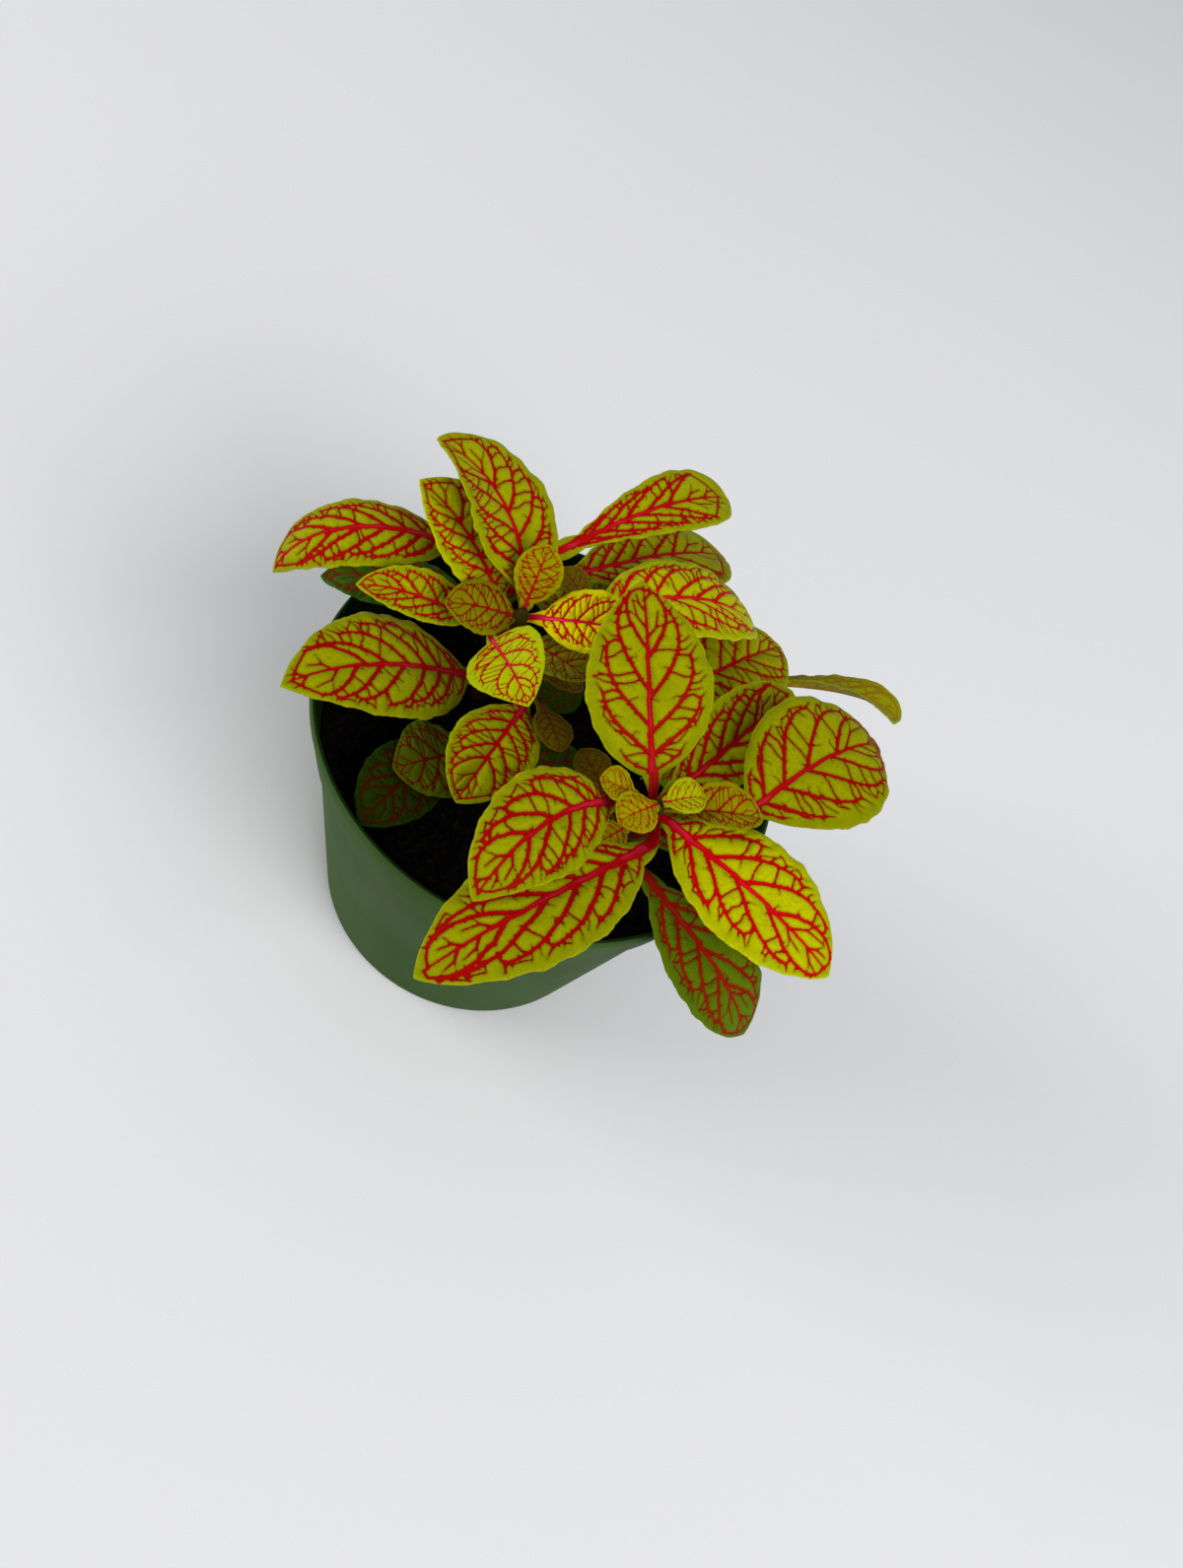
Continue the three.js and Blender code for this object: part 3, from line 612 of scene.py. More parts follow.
LEAVES = {
    "left": (
        Leaf("leaf_left_1", Tone.LIME, height=98, heading=128, petiole=6, length=36.5,
             width=24, pitch=36, droop=26, sweep=76, roll=-10, fold=16, bend=-24, widest=0.5, shade=0.97),
        Leaf("leaf_left_2", Tone.LIME, height=92.5, heading=158, petiole=8, length=28.5,
             width=20, pitch=34, droop=25, sweep=24, fold=20, bend=-8, widest=0.48, shade=1.36),
        Leaf("bud_left_1", Tone.YOUNG, height=99.4, heading=104, petiole=3, length=13,
             width=10, pitch=58, droop=20, fold=24, density=1.45),
        Leaf("leaf_left_3", Tone.YOUNG, height=99.6, heading=212, petiole=1, length=15,
             width=12, pitch=14, droop=30, roll=14, fold=16, curl=-15, widest=0.5, shade=0.64),
        Leaf("leaf_left_4", Tone.BRIGHT, height=95.5, heading=321, petiole=11, length=17,
             width=17, pitch=17, droop=40, sweep=4, roll=-36, fold=26, bend=-118, widest=0.4, density=1.15),
        Leaf("leaf_left_5", Tone.GOLD, height=100, heading=16, petiole=4, length=21,
             width=14, pitch=25, droop=30, roll=-20, fold=24, curl=-15, widest=0.5, density=1.4,
             shade=1.72),
        Leaf("leaf_left_6", Tone.LIME, height=93.5, heading=352, petiole=4, length=15,
             width=17, pitch=18, droop=30, roll=10, fold=20, widest=0.5),
        Leaf("bud_left_2", Tone.BROWN, height=86, heading=14, petiole=5, length=14,
             width=10, pitch=0, droop=20, roll=10, fold=20),
        Leaf("leaf_left_7", Tone.LIME, height=74, heading=230, petiole=8, length=46,
             width=25, pitch=29, droop=40, sweep=12, roll=6, curl=-12, bend=24, widest=0.44, shade=0.89),
        Leaf("leaf_left_8", Tone.LIME, height=92, heading=201, petiole=9, length=24.5,
             width=11.5, pitch=13, droop=40, roll=16, fold=24, widest=0.46),
    ),
    "front": (
        Leaf("leaf_front_1", Tone.LIME, height=99, heading=135, petiole=6, length=38.5,
             width=26, pitch=35, droop=30, sweep=-10, roll=4, fold=14, widest=0.43, density=1, shade=0.91),
        Leaf("leaf_front_2", Tone.LIME, height=98.3, heading=347, petiole=4, length=41.5,
             width=24, pitch=8, droop=30, roll=-6, fold=12, curl=-12, widest=0.5, density=1, shade=1.41),
        Leaf("leaf_front_3", Tone.LIME, height=96.5, heading=244.5, petiole=11, length=52,
             width=22.5, pitch=11, droop=34, roll=-8, fold=8, curl=-12, bend=78, widest=0.5, density=1,
             shade=0.89),
        Leaf("leaf_front_4", Tone.LIME, height=89, heading=70, petiole=24, length=35,
             width=29.5, pitch=31, droop=62, sweep=-18, curl=-12, bend=-95, widest=0.54, density=1.1,
             shade=0.82, dry_tip=5),
        Leaf("leaf_front_5", Tone.LIME, height=94.2, heading=238, petiole=10.5, length=41,
             width=19.5, pitch=28, droop=66, sweep=30, roll=16, curl=-15, bend=-44, widest=0.48,
             density=1.2, shade=0.91),
        Leaf("leaf_front_6", Tone.LIME, height=88, heading=70, petiole=9, length=38,
             width=18, pitch=20, droop=20, sweep=6, roll=-8, fold=14, curl=-5, density=1.15, shade=0.91),
        Leaf("leaf_front_7", Tone.DARK, height=77, heading=330, petiole=12, length=39,
             width=19, pitch=8, droop=70, sweep=18, roll=-10, fold=6, widest=0.58, density=1.1),
        Leaf("leaf_front_8", Tone.YOUNG, height=100, heading=25, petiole=5, length=16,
             width=13, pitch=16, droop=20, roll=10, fold=30, widest=0.5, shade=0.86),
        Leaf("bud_front_1", Tone.YOUNG, height=100, heading=198, petiole=5, length=8,
             width=8, pitch=20, droop=20, fold=20),
        Leaf("bud_front_2", Tone.YOUNG, height=92, heading=246, petiole=5, length=9,
             width=8, pitch=6, droop=30, fold=20),
        Leaf("bud_front_3", Tone.BRIGHT, height=103, heading=40, petiole=1, length=8,
             width=8, pitch=26, droop=40, fold=30, curl=-15),
        Leaf("bud_front_4", Tone.YOUNG, height=103, heading=240, petiole=1, length=9,
             width=9, pitch=10, droop=40, fold=20, curl=-15),
        Leaf("bud_front_5", Tone.BROWN, height=80, heading=150, petiole=9, length=10.5,
             width=9, pitch=16, droop=20, fold=20),
        Leaf("leaf_front_9", Tone.DARK, height=76, heading=40, petiole=6, length=24,
             width=14, pitch=6, droop=40),
    ),
    "rear": (
        Leaf("leaf_rear_1", Tone.LIME, height=95, heading=47, petiole=2, length=44,
             width=26, pitch=13, droop=66, sweep=-14, roll=10, fold=12, curl=-12, widest=0.48, shade=1.33),
        Leaf("bud_rear_1", Tone.BROWN, height=93, heading=162, petiole=3, length=9,
             width=8, pitch=24, droop=20, fold=20),
        Leaf("bud_rear_2", Tone.DEEP, height=75, heading=255, petiole=2, length=12,
             width=12, pitch=-10, droop=20, shade=0.35),
        Leaf("leaf_rear_2", Tone.DARK, height=72, heading=98, petiole=8, length=26,
             width=15, pitch=24, droop=44, fold=12),
        Leaf("leaf_rear_3", Tone.MID, height=79, heading=146, petiole=5, length=22,
             width=12, pitch=8, droop=30, fold=12),
    ),
    "low": (
        Leaf("leaf_low_1", Tone.LIME, height=89, heading=272, petiole=3, length=27,
             width=17.5, pitch=10, droop=60, sweep=-4, curl=-12, widest=0.5, shade=0.95),
        Leaf("bud_low_1", Tone.BROWN, height=90.5, heading=320, petiole=3.5, length=11,
             width=9, pitch=12, droop=40, roll=10, shade=0.9),
        Leaf("leaf_low_2", Tone.MID, height=74, heading=244, petiole=6, length=17.5,
             width=19, pitch=8, droop=30, sweep=-20, bend=50, widest=0.5, shade=0.42),
        Leaf("leaf_low_3", Tone.DEEP, height=71, heading=263, petiole=8, length=26.5,
             width=16.5, pitch=4, droop=24, roll=10, bend=-66, widest=0.5, shade=0.26),
        Leaf("bud_low_2", Tone.DEEP, height=76, heading=2, petiole=6, length=20,
             width=15, pitch=2, droop=30, shade=0.5),
    ),
    "back_left": (
        Leaf("leaf_back_left_1", Tone.LIME, height=90, heading=222, petiole=13, length=44.5,
             width=16.5, pitch=21, droop=110, sweep=4, roll=8, fold=-6, bend=-28, widest=0.46, shade=0.92),
        Leaf("leaf_back_left_2", Tone.DEEP, height=76, heading=210, petiole=6, length=34,
             width=20, pitch=11, droop=40, roll=-10, widest=0.5, shade=0.7),
        Leaf("leaf_back_left_3", Tone.LIME, height=86, heading=54, petiole=13, length=44,
             width=17, pitch=31, droop=46, fold=12, widest=0.76, shade=0.94),
        Leaf("leaf_back_left_4", Tone.LIME, height=82, heading=47, petiole=16, length=43,
             width=26, pitch=16, droop=44, sweep=8, roll=10, fold=12, curl=-12, widest=0.62, shade=0.72),
        Leaf("leaf_back_left_5", Tone.DARK, height=68, heading=112, petiole=4, length=22,
             width=14, pitch=34, droop=36, fold=12),
        Leaf("leaf_back_left_6", Tone.DARK, height=78, heading=150, petiole=4, length=16,
             width=12, pitch=10, droop=30, fold=12),
    ),
    "back_right": (
        Leaf("leaf_back_right_1", Tone.LIME, height=82, heading=62, petiole=4, length=31,
             width=25, pitch=15, droop=34, fold=12, widest=0.52, shade=0.89),
        Leaf("leaf_back_right_2", Tone.MID, height=77, heading=94, petiole=8.5, length=37,
             width=20, pitch=15, droop=40, fold=12, widest=0.56),
        Leaf("leaf_back_right_3", Tone.PALE, height=73.5, heading=23, petiole=32, length=36,
             width=13, pitch=16.5, droop=50, sweep=-4, roll=44, fold=20, curl=-5, bend=54, twist=-76,
             widest=0.56),
        Leaf("leaf_back_right_4", Tone.DARK, height=70, heading=30, petiole=10, length=28,
             width=16, pitch=27, droop=56, fold=12),
        Leaf("leaf_back_right_5", Tone.MID, height=70, heading=334, petiole=5, length=18,
             width=12, pitch=8, droop=30, fold=12),
    ),
}


# ---- meshes ----


def seeded(name: str) -> random.Random:
    """A random source that draws the same numbers for the same name on each run."""
    return random.Random(zlib.crc32(name.encode()))


def put_in_scene(name: str, data: bpy.types.ID) -> bpy.types.Object:
    """Put an object into the scene.

    Args:
        name: The object's name.
        data: The mesh, lamp or camera that it holds.

    Returns:
        The object.
    """
    made = bpy.data.objects.new(name, data)
    bpy.context.scene.collection.objects.link(made)
    return made


def ride_on_plant(name: str, mesh: bpy.types.Mesh) -> bpy.types.Object:
    """Make a mesh a piece that rides on the plant's only body.

    Args:
        name: The piece's name.
        mesh: Its mesh, with its materials.

    Returns:
        The object.
    """
    piece = put_in_scene(name, mesh)
    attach(piece, BODY)
    LOG.info("%s: %d points, %d faces", name, len(mesh.vertices), len(mesh.polygons))
    return piece


def make_piece(name: str, points: np.ndarray, faces: Sequence[Sequence[int]],
               materials: Sequence[bpy.types.Material], kinds: Sequence[int] | None = None,
               values: dict[str, np.ndarray] | None = None) -> bpy.types.Object:
    """Make a smooth-shaded piece of the plant.

    Args:
        name: The piece's name.
        points: Its points in millimetres.
        faces: Its faces as point numbers.
        materials: Its materials.
        kinds: Each face's material number, or None for the first.
        values: Named values at each point, for the materials to read.

    Returns:
        The object.
    """
    mesh = bpy.data.meshes.new(name)
    mesh.from_pydata((np.asarray(points, float) * MM).tolist(), [], faces)
    mesh.shade_smooth()
    for material in materials:
        mesh.materials.append(material)
    if kinds is not None:
        mesh.polygons.foreach_set("material_index", np.asarray(kinds, np.int32))
    for label, numbers in (values or {}).items():
        carried = mesh.attributes.new(label, "FLOAT", "POINT")
        carried.data.foreach_set("value", np.asarray(numbers, np.float32))
    mesh.update()
    return ride_on_plant(name, mesh)


def ring(radius: float | np.ndarray, turns: np.ndarray, height: float) -> np.ndarray:
    """A level ring of points about the Z axis."""
    return np.stack([radius * np.cos(turns), radius * np.sin(turns), np.full_like(turns, height)], -1)


def tube_faces(rings: int, sides: int) -> list[tuple[int, ...]]:
    """The faces of a closed tube of rings, with a fan to one more point at each end.

    Args:
        rings: How many rings there are. Their points come first, ring by ring.
        sides: How many points each ring has. After the rings come the two end points.

    Returns:
        The faces, those between the rings first and ring by ring.
    """
    first, second = np.meshgrid(np.arange(rings - 1), np.arange(sides), indexing="ij")
    corner = first * sides + second
    beside = first * sides + (second + 1) % sides
    quads = np.stack([corner, beside, beside + sides, corner + sides], axis=-1).reshape(-1, 4)
    start, end = rings * sides, rings * sides + 1
    last = (rings - 1) * sides
    fans = [(start, (k + 1) % sides, k) for k in range(sides)]
    fans += [(end, last + k, last + (k + 1) % sides) for k in range(sides)]
    return [tuple(face) for face in quads.tolist()] + fans


def smooth_step(value: np.ndarray | float, start: float, end: float) -> np.ndarray:
    """A smooth rise from 0 at start to 1 at end."""
    share = np.clip((np.asarray(value) - start) / (end - start), 0, 1)
    return share * share * (3 - 2 * share)


# ---- the net of veins ----


@dataclass(frozen=True)
class VeinHabit:
    """How a leaf's veins run. Half widths and lengths are millimetres on a leaf 40 mm long."""

    rib_foot: float = 0.76
    rib_flare: float = 0.4
    rib_tip: float = 0.15
    lateral_foot: float = 0.45
    lateral_end: float = 0.26
    link: float = 0.25
    outer: float = 0.18
    cross: float = 0.14
    thread: float = 0.09
    # Pairs of laterals: the least that a leaf has, and the length that brings one more.
    least_pairs: float = 3.2
    length_per_pair: float = 22
    # Where they start and end, and how far they reach, as shares of the blade.
    first_origin: float = 0.025
    last_origin: float = 0.62
    upper: tuple[float, ...] = (0.735, 0.865)
    longest: float = 0.45
    short_foot: float = 0.11
    spread: float = 0.76
    rim: float = 0.87
    net_end: float = 0.965
    # How far apart the smaller veins stand along a lateral.
    outer_gap: float = 2.3
    cross_gap: float = 4.8
    thorn_gap: float = 2.1
    least_thorny: float = 12


@dataclass
class Vein:
    """One vein: its points in the flat blade, its half width at each and its rank."""

    points: np.ndarray
    half_widths: np.ndarray
    rank: Rank

    def distance(self, x: np.ndarray, y: np.ndarray) -> tuple[np.ndarray, np.ndarray]:
        """The gap from each point to the vein's edge, and the vein's half width there.

        Args:
            x: The points' distances along the midrib, as a column.
            y: Their distances across it.

        Returns:
            The gaps, negative inside the vein, and the half widths.
        """
        gap = np.full(y.shape, 1e3, np.float32)
        half = np.zeros(y.shape, np.float32)
        for (xa, ya), (xb, yb), wide_a, wide_b in zip(self.points, self.points[1:], self.half_widths,
                                                      self.half_widths[1:]):
            dx, dy = xb - xa, yb - ya
            share = np.clip(((x - xa) * dx + (y - ya) * dy) / max(dx * dx + dy * dy, 1e-9), 0, 1)
            wide = wide_a + (wide_b - wide_a) * share
            near = np.hypot(x - xa - share * dx, y - ya - share * dy) - wide
            closer = near < gap
            gap = np.where(closer, near, gap)
            half = np.where(closer, wide, half)
        return gap, half


class VeinNet:
    """The veins of one blade, drawn in the flat blade.

    x runs along the midrib from the blade's foot, and y runs across it to the right. The
    laterals arch forward beside one another, and each ends in a link to the next one.
    """

    REACH = 2.6
    FILLET = 0.13
    STEPS = 11

    def __init__(self, leaf: Leaf, half_width: Callable[[float], float], habit: VeinHabit) -> None:
        """Draw the net.

        Args:
            leaf: The leaf.
            half_width: The blade's half width at a share of its length.
            habit: How its veins run.
        """
        self.leaf = leaf
        self.half_width = half_width
        self.habit = habit
        self.draw = seeded(leaf.name + " veins")
        self.size = leaf.size
        # Small leaves have finer veins and large ones hardly thicker ones.
        young = min(1.0, 0.45 + leaf.length / 28)
        small, large = min(self.size, 1.0), max(self.size, 1.0)
        self.softness = small ** 0.6
        self.fillet = self.FILLET * self.softness
        self.scale = small ** 0.76 * large ** 0.4 * young
        self.fineness = small ** 0.92 * large ** 0.3 * young / leaf.density ** 0.35
        self.veins: list[Vein] = []
        self.trace()

    def half(self, x: float) -> float:
        """The blade's half width at a distance from its foot."""
        return self.half_width(min(max(x / self.leaf.length, 0), 1))

    def add(self, points: Sequence[tuple[float, float]], start: float, end: float, rank: Rank) -> None:
        """Add a vein through points, tapering from one half width to another.

        Args:
            points: The points.
            start: Its first half width on a 40 mm leaf.
            end: Its last half width on a 40 mm leaf.
            rank: Its rank.
        """
        taper = np.linspace(start, end, len(points)) * self.fineness
        self.veins.append(Vein(np.array(points, float), taper, rank))

    def shift(self, amount: float) -> float:
        """A random shift of up to an amount, in millimetres on a 40 mm leaf."""
        return self.draw.uniform(-amount, amount) * self.size

    def at(self, path: Sequence[tuple[float, float]], share: float) -> tuple[float, float]:
        """The point at a share of a path.

        Args:
            path: The path's points.
            share: 0 for its start to 1 for its end.

        Returns:
            The point.
        """
        place = min(max(share, 0), 1) * (len(path) - 1)
        k = min(int(place), len(path) - 2)
        rest = place - k
        return (path[k][0] + (path[k + 1][0] - path[k][0]) * rest,
                path[k][1] + (path[k + 1][1] - path[k][1]) * rest)

    def beside(self, path: Sequence[tuple[float, float]], x: float) -> tuple[float, float]:
        """The point of a lateral beside a point of the midrib.

        Args:
            path: The lateral's points.
            x: The distance along the midrib.

        Returns:
            The point.
        """
        xs = [point[0] for point in path]
        x = min(max(x, xs[0]), xs[-1])
        return x, float(np.interp(x, xs, [point[1] for point in path]))

    def trace(self) -> None:
        """Draw the midrib, the laterals with their links and all the smaller veins."""
        least = self.habit.least_pairs + self.leaf.length / self.habit.length_per_pair
        pairs = round(least * self.leaf.density)
        both = {side: [self.lateral(x, side) for x in self.origins(side, pairs)] for side in (1, -1)}
        self.midrib(sorted((path[0][0], side) for side, paths in both.items() for path in paths))
        for side, laterals in both.items():
            for k, path in enumerate(laterals):
                after = laterals[k + 1] if k + 1 < pairs else None
                before = laterals[k - 1] if k else None
                self.lateral_veins(path, after, before, side)
            self.hooks(side)

    def origins(self, side: int, pairs: int) -> list[float]:
        """Where the laterals of one side leave the midrib, crowded towards the blade's foot.

        Args:
            side: 1 for the right half, -1 for the left, whose laterals lag behind.
            pairs: How many laterals the side has.

        Returns:
            Their distances from the blade's foot.
        """
        habit = self.habit
        lag = 0.0 if side > 0 else self.draw.uniform(0.05, 0.35)
        span = habit.last_origin - habit.first_origin
        crowding = 1.5 - 0.5 * (self.leaf.density - 1)
        places = [((k + lag) / (pairs - 0.85)) ** crowding for k in range(pairs)]
        shares = [habit.first_origin + span * place for place in places]
        return [self.leaf.length * (share + self.draw.uniform(-0.012, 0.012)) for share in shares]

    def lateral(self, x: float, side: int) -> list[tuple[float, float]]:
        """The path of a lateral, which leaves at half a right angle and bends beside the midrib.

        Args:
            x: Its origin's distance from the blade's foot.
            side: 1 for the right half, -1 for the left.

        Returns:
            Its points.
        """
        length, habit = self.leaf.length, self.habit
        share = x / length
        advance = min(habit.longest * (1 - math.exp(-share / habit.short_foot)), 0.92 * (0.96 - share))
        advance *= length * self.draw.uniform(0.93, 1.04) / self.leaf.density ** 1.3
        spread = habit.spread * self.draw.uniform(0.92, 1.06)
        bow = min(2.2, max(1.25, 2.7 - 2.9 * share)) * self.draw.uniform(0.95, 1.06)
        path = []
        for k in range(self.STEPS + 1):
            q = k / self.STEPS
            here = x + advance * q
            loose = 0.2 * math.sin(math.pi * min(1, 1.4 * q))
            reach = spread * self.half(here) * (1 - (1 - q) ** bow)
            path.append((here, side * max(0, reach + self.shift(loose))))
        return path

    def midrib(self, kinks: Sequence[tuple[float, int]]) -> None:
        """Draw the midrib from the stalk to the tip.

        Args:
            kinks: Where laterals leave it, each with its side. It bends a little away from each.
        """
        leaf, habit = self.leaf, self.habit
        last = habit.net_end * leaf.length
        points = [(-leaf.petiole - 2, 0.0), (-0.5 * leaf.petiole, 0.0)]
        points += [(x, -side * 0.12 * self.scale) for x, side in kinks if x < 0.9 * leaf.length]
        points.append((last, self.shift(0.3)))
        places = np.array(points, float)
        thin = np.clip(1 - places[:, 0] / last, 0, 1) ** 0.8
        flare = habit.rib_flare * np.exp(-np.maximum(places[:, 0], 0) / (0.08 * leaf.length))
        widths = self.scale * (habit.rib_tip + (habit.rib_foot - habit.rib_tip) * thin + flare)
        self.veins.append(Vein(places, widths, Rank.MIDRIB))

    def lateral_veins(self, path: list[tuple[float, float]], after: list[tuple[float, float]] | None,
                      before: list[tuple[float, float]] | None, side: int) -> None:
        """Draw a lateral with its link, its outer veins, its cross veins and its threads.

        Args:
            path: The lateral's points.
            after: The next lateral towards the tip, if there is one.
            before: The next lateral towards the foot, if there is one.
            side: 1 for the right half, -1 for the left.
        """
        leaf, habit = self.leaf, self.habit
        strong = 0.65 if path[0][0] / leaf.length < 0.05 else 1.0
        self.add(path, habit.lateral_foot * strong, habit.lateral_end * strong, Rank.LATERAL)
        end = path[-1]
        if after:
            meet = self.beside(after, end[0] + self.shift(0.6))
            self.cross_veins(path, after)
        else:
            meet = (leaf.length * self.draw.uniform(habit.net_end - 0.02, habit.net_end), 0.0)
        middle = ((end[0] + meet[0]) / 2 + abs(self.shift(0.7)), (end[1] + meet[1]) / 2)
        self.add([end, middle, meet], habit.link * strong, habit.link * strong, Rank.LINK)
        room = habit.rim * self.half(end[0]) - abs(end[1])
        ahead = (end[0] + max(0.5, 1.1 * room) * self.draw.uniform(0.8, 1.3), end[1] + side * 0.8 * room)
        if ahead[0] < 0.97 * leaf.length:
            self.add([end, ahead], habit.lateral_end * strong, habit.thread, Rank.OUTER)
        self.outer_veins(path, before[-1][0] if before else path[0][0], side)
        self.thorns(path)

    def hooks(self, side: int) -> None:
        """Draw the short veins that leave the midrib near its tip, bent forward.

        Args:
            side: 1 for the right half, -1 for the left.
        """
        habit = self.habit
        for share in habit.upper:
            x = self.leaf.length * (share + self.draw.uniform(-0.05, 0.03))
            reach = self.half(x) * self.draw.uniform(0.2, 0.34)
            bend = (x + 0.8 * reach, side * 0.75 * reach)
            end = (x + 2.1 * reach, side * reach)
            self.add([(x, 0.0), bend, end], habit.link * 1.2, habit.cross, Rank.LINK)
            twig_end = (bend[0] + 0.4 * reach, side * 1.7 * reach)
            self.add([bend, twig_end], habit.cross, habit.thread, Rank.TWIG)

    def outer_veins(self, path: list[tuple[float, float]], start: float, side: int) -> None:
        """Draw the comb of small veins between a lateral and the blade's rim.

        Args:
            path: The lateral's points.
            start: Where it begins to be the outermost, as a distance from the blade's foot.
            side: 1 for the right half, -1 for the left.
        """
        habit = self.habit
        start = min(max(start, path[0][0] + 0.5 * self.size), path[-1][0])
        span = path[-1][0] - start
        count = max(1, round(span * self.leaf.density / (habit.outer_gap * self.size ** 0.7)))
        ends = []
        for k in range(count):
            x, y = self.beside(path, start + span * (k + self.draw.uniform(0.1, 0.8)) / count)
            room = (habit.rim * self.half(x) - abs(y)) * self.draw.uniform(0.6, 1.05)
            if room < 0.5 * self.size:
                continue
            lean = room * self.draw.uniform(0.1, 0.7)
            middle = (x + 0.25 * lean + self.shift(0.2), y + side * 0.55 * room)
            end = (x + lean, y + side * room)
            self.add([(x, y), middle, end], habit.outer, habit.thread, Rank.OUTER)
            ends.append((middle, end))
        for (_, far), (next_middle, _) in zip(ends, ends[1:]):
            if self.draw.random() < 0.5:
                self.add([far, next_middle], habit.cross, habit.outer, Rank.BRIDGE)

    def cross_veins(self, low: list[tuple[float, float]], high: list[tuple[float, float]]) -> None:
        """Draw the few thin veins that cross the field between two laterals, some broken off.

        Args:
            low: The path of the lateral nearer the blade's foot.
            high: The path of the next lateral.
        """
        habit, density = self.habit, self.leaf.density
        reach = math.hypot(low[-1][0] - low[0][0], low[-1][1] - low[0][1])
        rungs = max(1, round(reach * density / (habit.cross_gap * self.size ** 0.8)))
        for rung in range(rungs):
            place = 0.2 + 0.75 * (rung + self.draw.uniform(0.2, 0.8)) / rungs
            first = self.at(low, place)
            second = self.beside(high, first[0] + self.draw.uniform(-0.2, 1.4) * self.size)
            root, far = (first, second) if self.draw.random() < 0.6 else (second, first)
            likely = 0.62 * density if place > 0.5 / density else 0.08
            whole = self.draw.random() < likely
            length = 1.0 if whole else self.draw.uniform(0.25, 0.5)
            line = []
            for q in (0, 0.35, 0.7, 1):
                loose = 0 < q < 1 or not whole
                along, aside = (self.shift(0.4), self.shift(0.3)) if loose else (0, 0)
                line.append((root[0] + (far[0] - root[0]) * length * q + along,
                             root[1] + (far[1] - root[1]) * length * q + aside))
            if whole:
                self.add(line, habit.outer * 1.1, habit.outer, Rank.CROSS)
            else:
                self.add(line, habit.outer, 0.6 * habit.thread, Rank.TWIG)

    def thorns(self, path: list[tuple[float, float]]) -> None:
        """Draw the very short threads that stand out of both flanks of a lateral.

        Args:
            path: The lateral's points.
        """
        if self.leaf.length <= self.habit.least_thorny:
            return
        reach = math.hypot(path[-1][0] - path[0][0], path[-1][1] - path[0][1])
        count = round(reach / (self.habit.thorn_gap * self.size ** 0.5))
        for k in range(count):
            share = 0.08 + 0.9 * (k + self.draw.uniform(0.1, 0.9)) / count
            root, ahead = self.at(path, share), self.at(path, share + 0.05)
            heading = math.atan2(ahead[1] - root[1], ahead[0] - root[0])
            turn = heading + self.draw.choice((-1, 1)) * math.radians(self.draw.uniform(55, 100))
            length = self.fineness * self.draw.uniform(0.42, 0.72)
            end = (root[0] + length * math.cos(turn), root[1] + length * math.sin(turn))
            self.add([root, end], self.habit.outer, self.habit.thread, Rank.THORN)

    def measure(self, x: np.ndarray, y: np.ndarray) -> tuple[np.ndarray, ...]:
        """Measure the points of the flat blade's rows against the net.

        Args:
            x: The rows' distances along the midrib, in rising order.
            y: Their points' distances across it.

        Returns:
            The gap to the nearest vein's edge, negative inside it, with the corners between
            veins filled a little; that vein's rank; the gap to the nearest vein that isn't thin;
            and that vein's half width.
        """
        nearest = np.full(y.shape, self.REACH, np.float32)
        rank = np.ones(y.shape, np.float32)
        main_half = np.full(y.shape, 0.2, np.float32)
        main_nearest = nearest.copy()
        crowd = np.full(y.shape, math.exp(-self.REACH / self.fillet))
        main_crowd = crowd.copy()
        for vein in self.veins:
            ends = [vein.points[:, 0].min() - self.REACH, vein.points[:, 0].max() + self.REACH]
            rows = slice(*np.searchsorted(x, ends))
            gap, half = vein.distance(x[rows, None], y[rows])
            share = np.exp(-np.minimum(gap, self.REACH) / self.fillet)
            crowd[rows] += share
            closer = gap < nearest[rows]
            nearest[rows][closer] = gap[closer]
            rank[rows][closer] = vein.rank.value
            if vein.rank.value < Rank.BRIDGE.value:
                main_crowd[rows] += share
                closer = gap < main_nearest[rows]
                main_nearest[rows][closer] = gap[closer]
                main_half[rows][closer] = half[closer]
        return -self.fillet * np.log(crowd), rank, -self.fillet * np.log(main_crowd), main_half


# ---- leaves ----


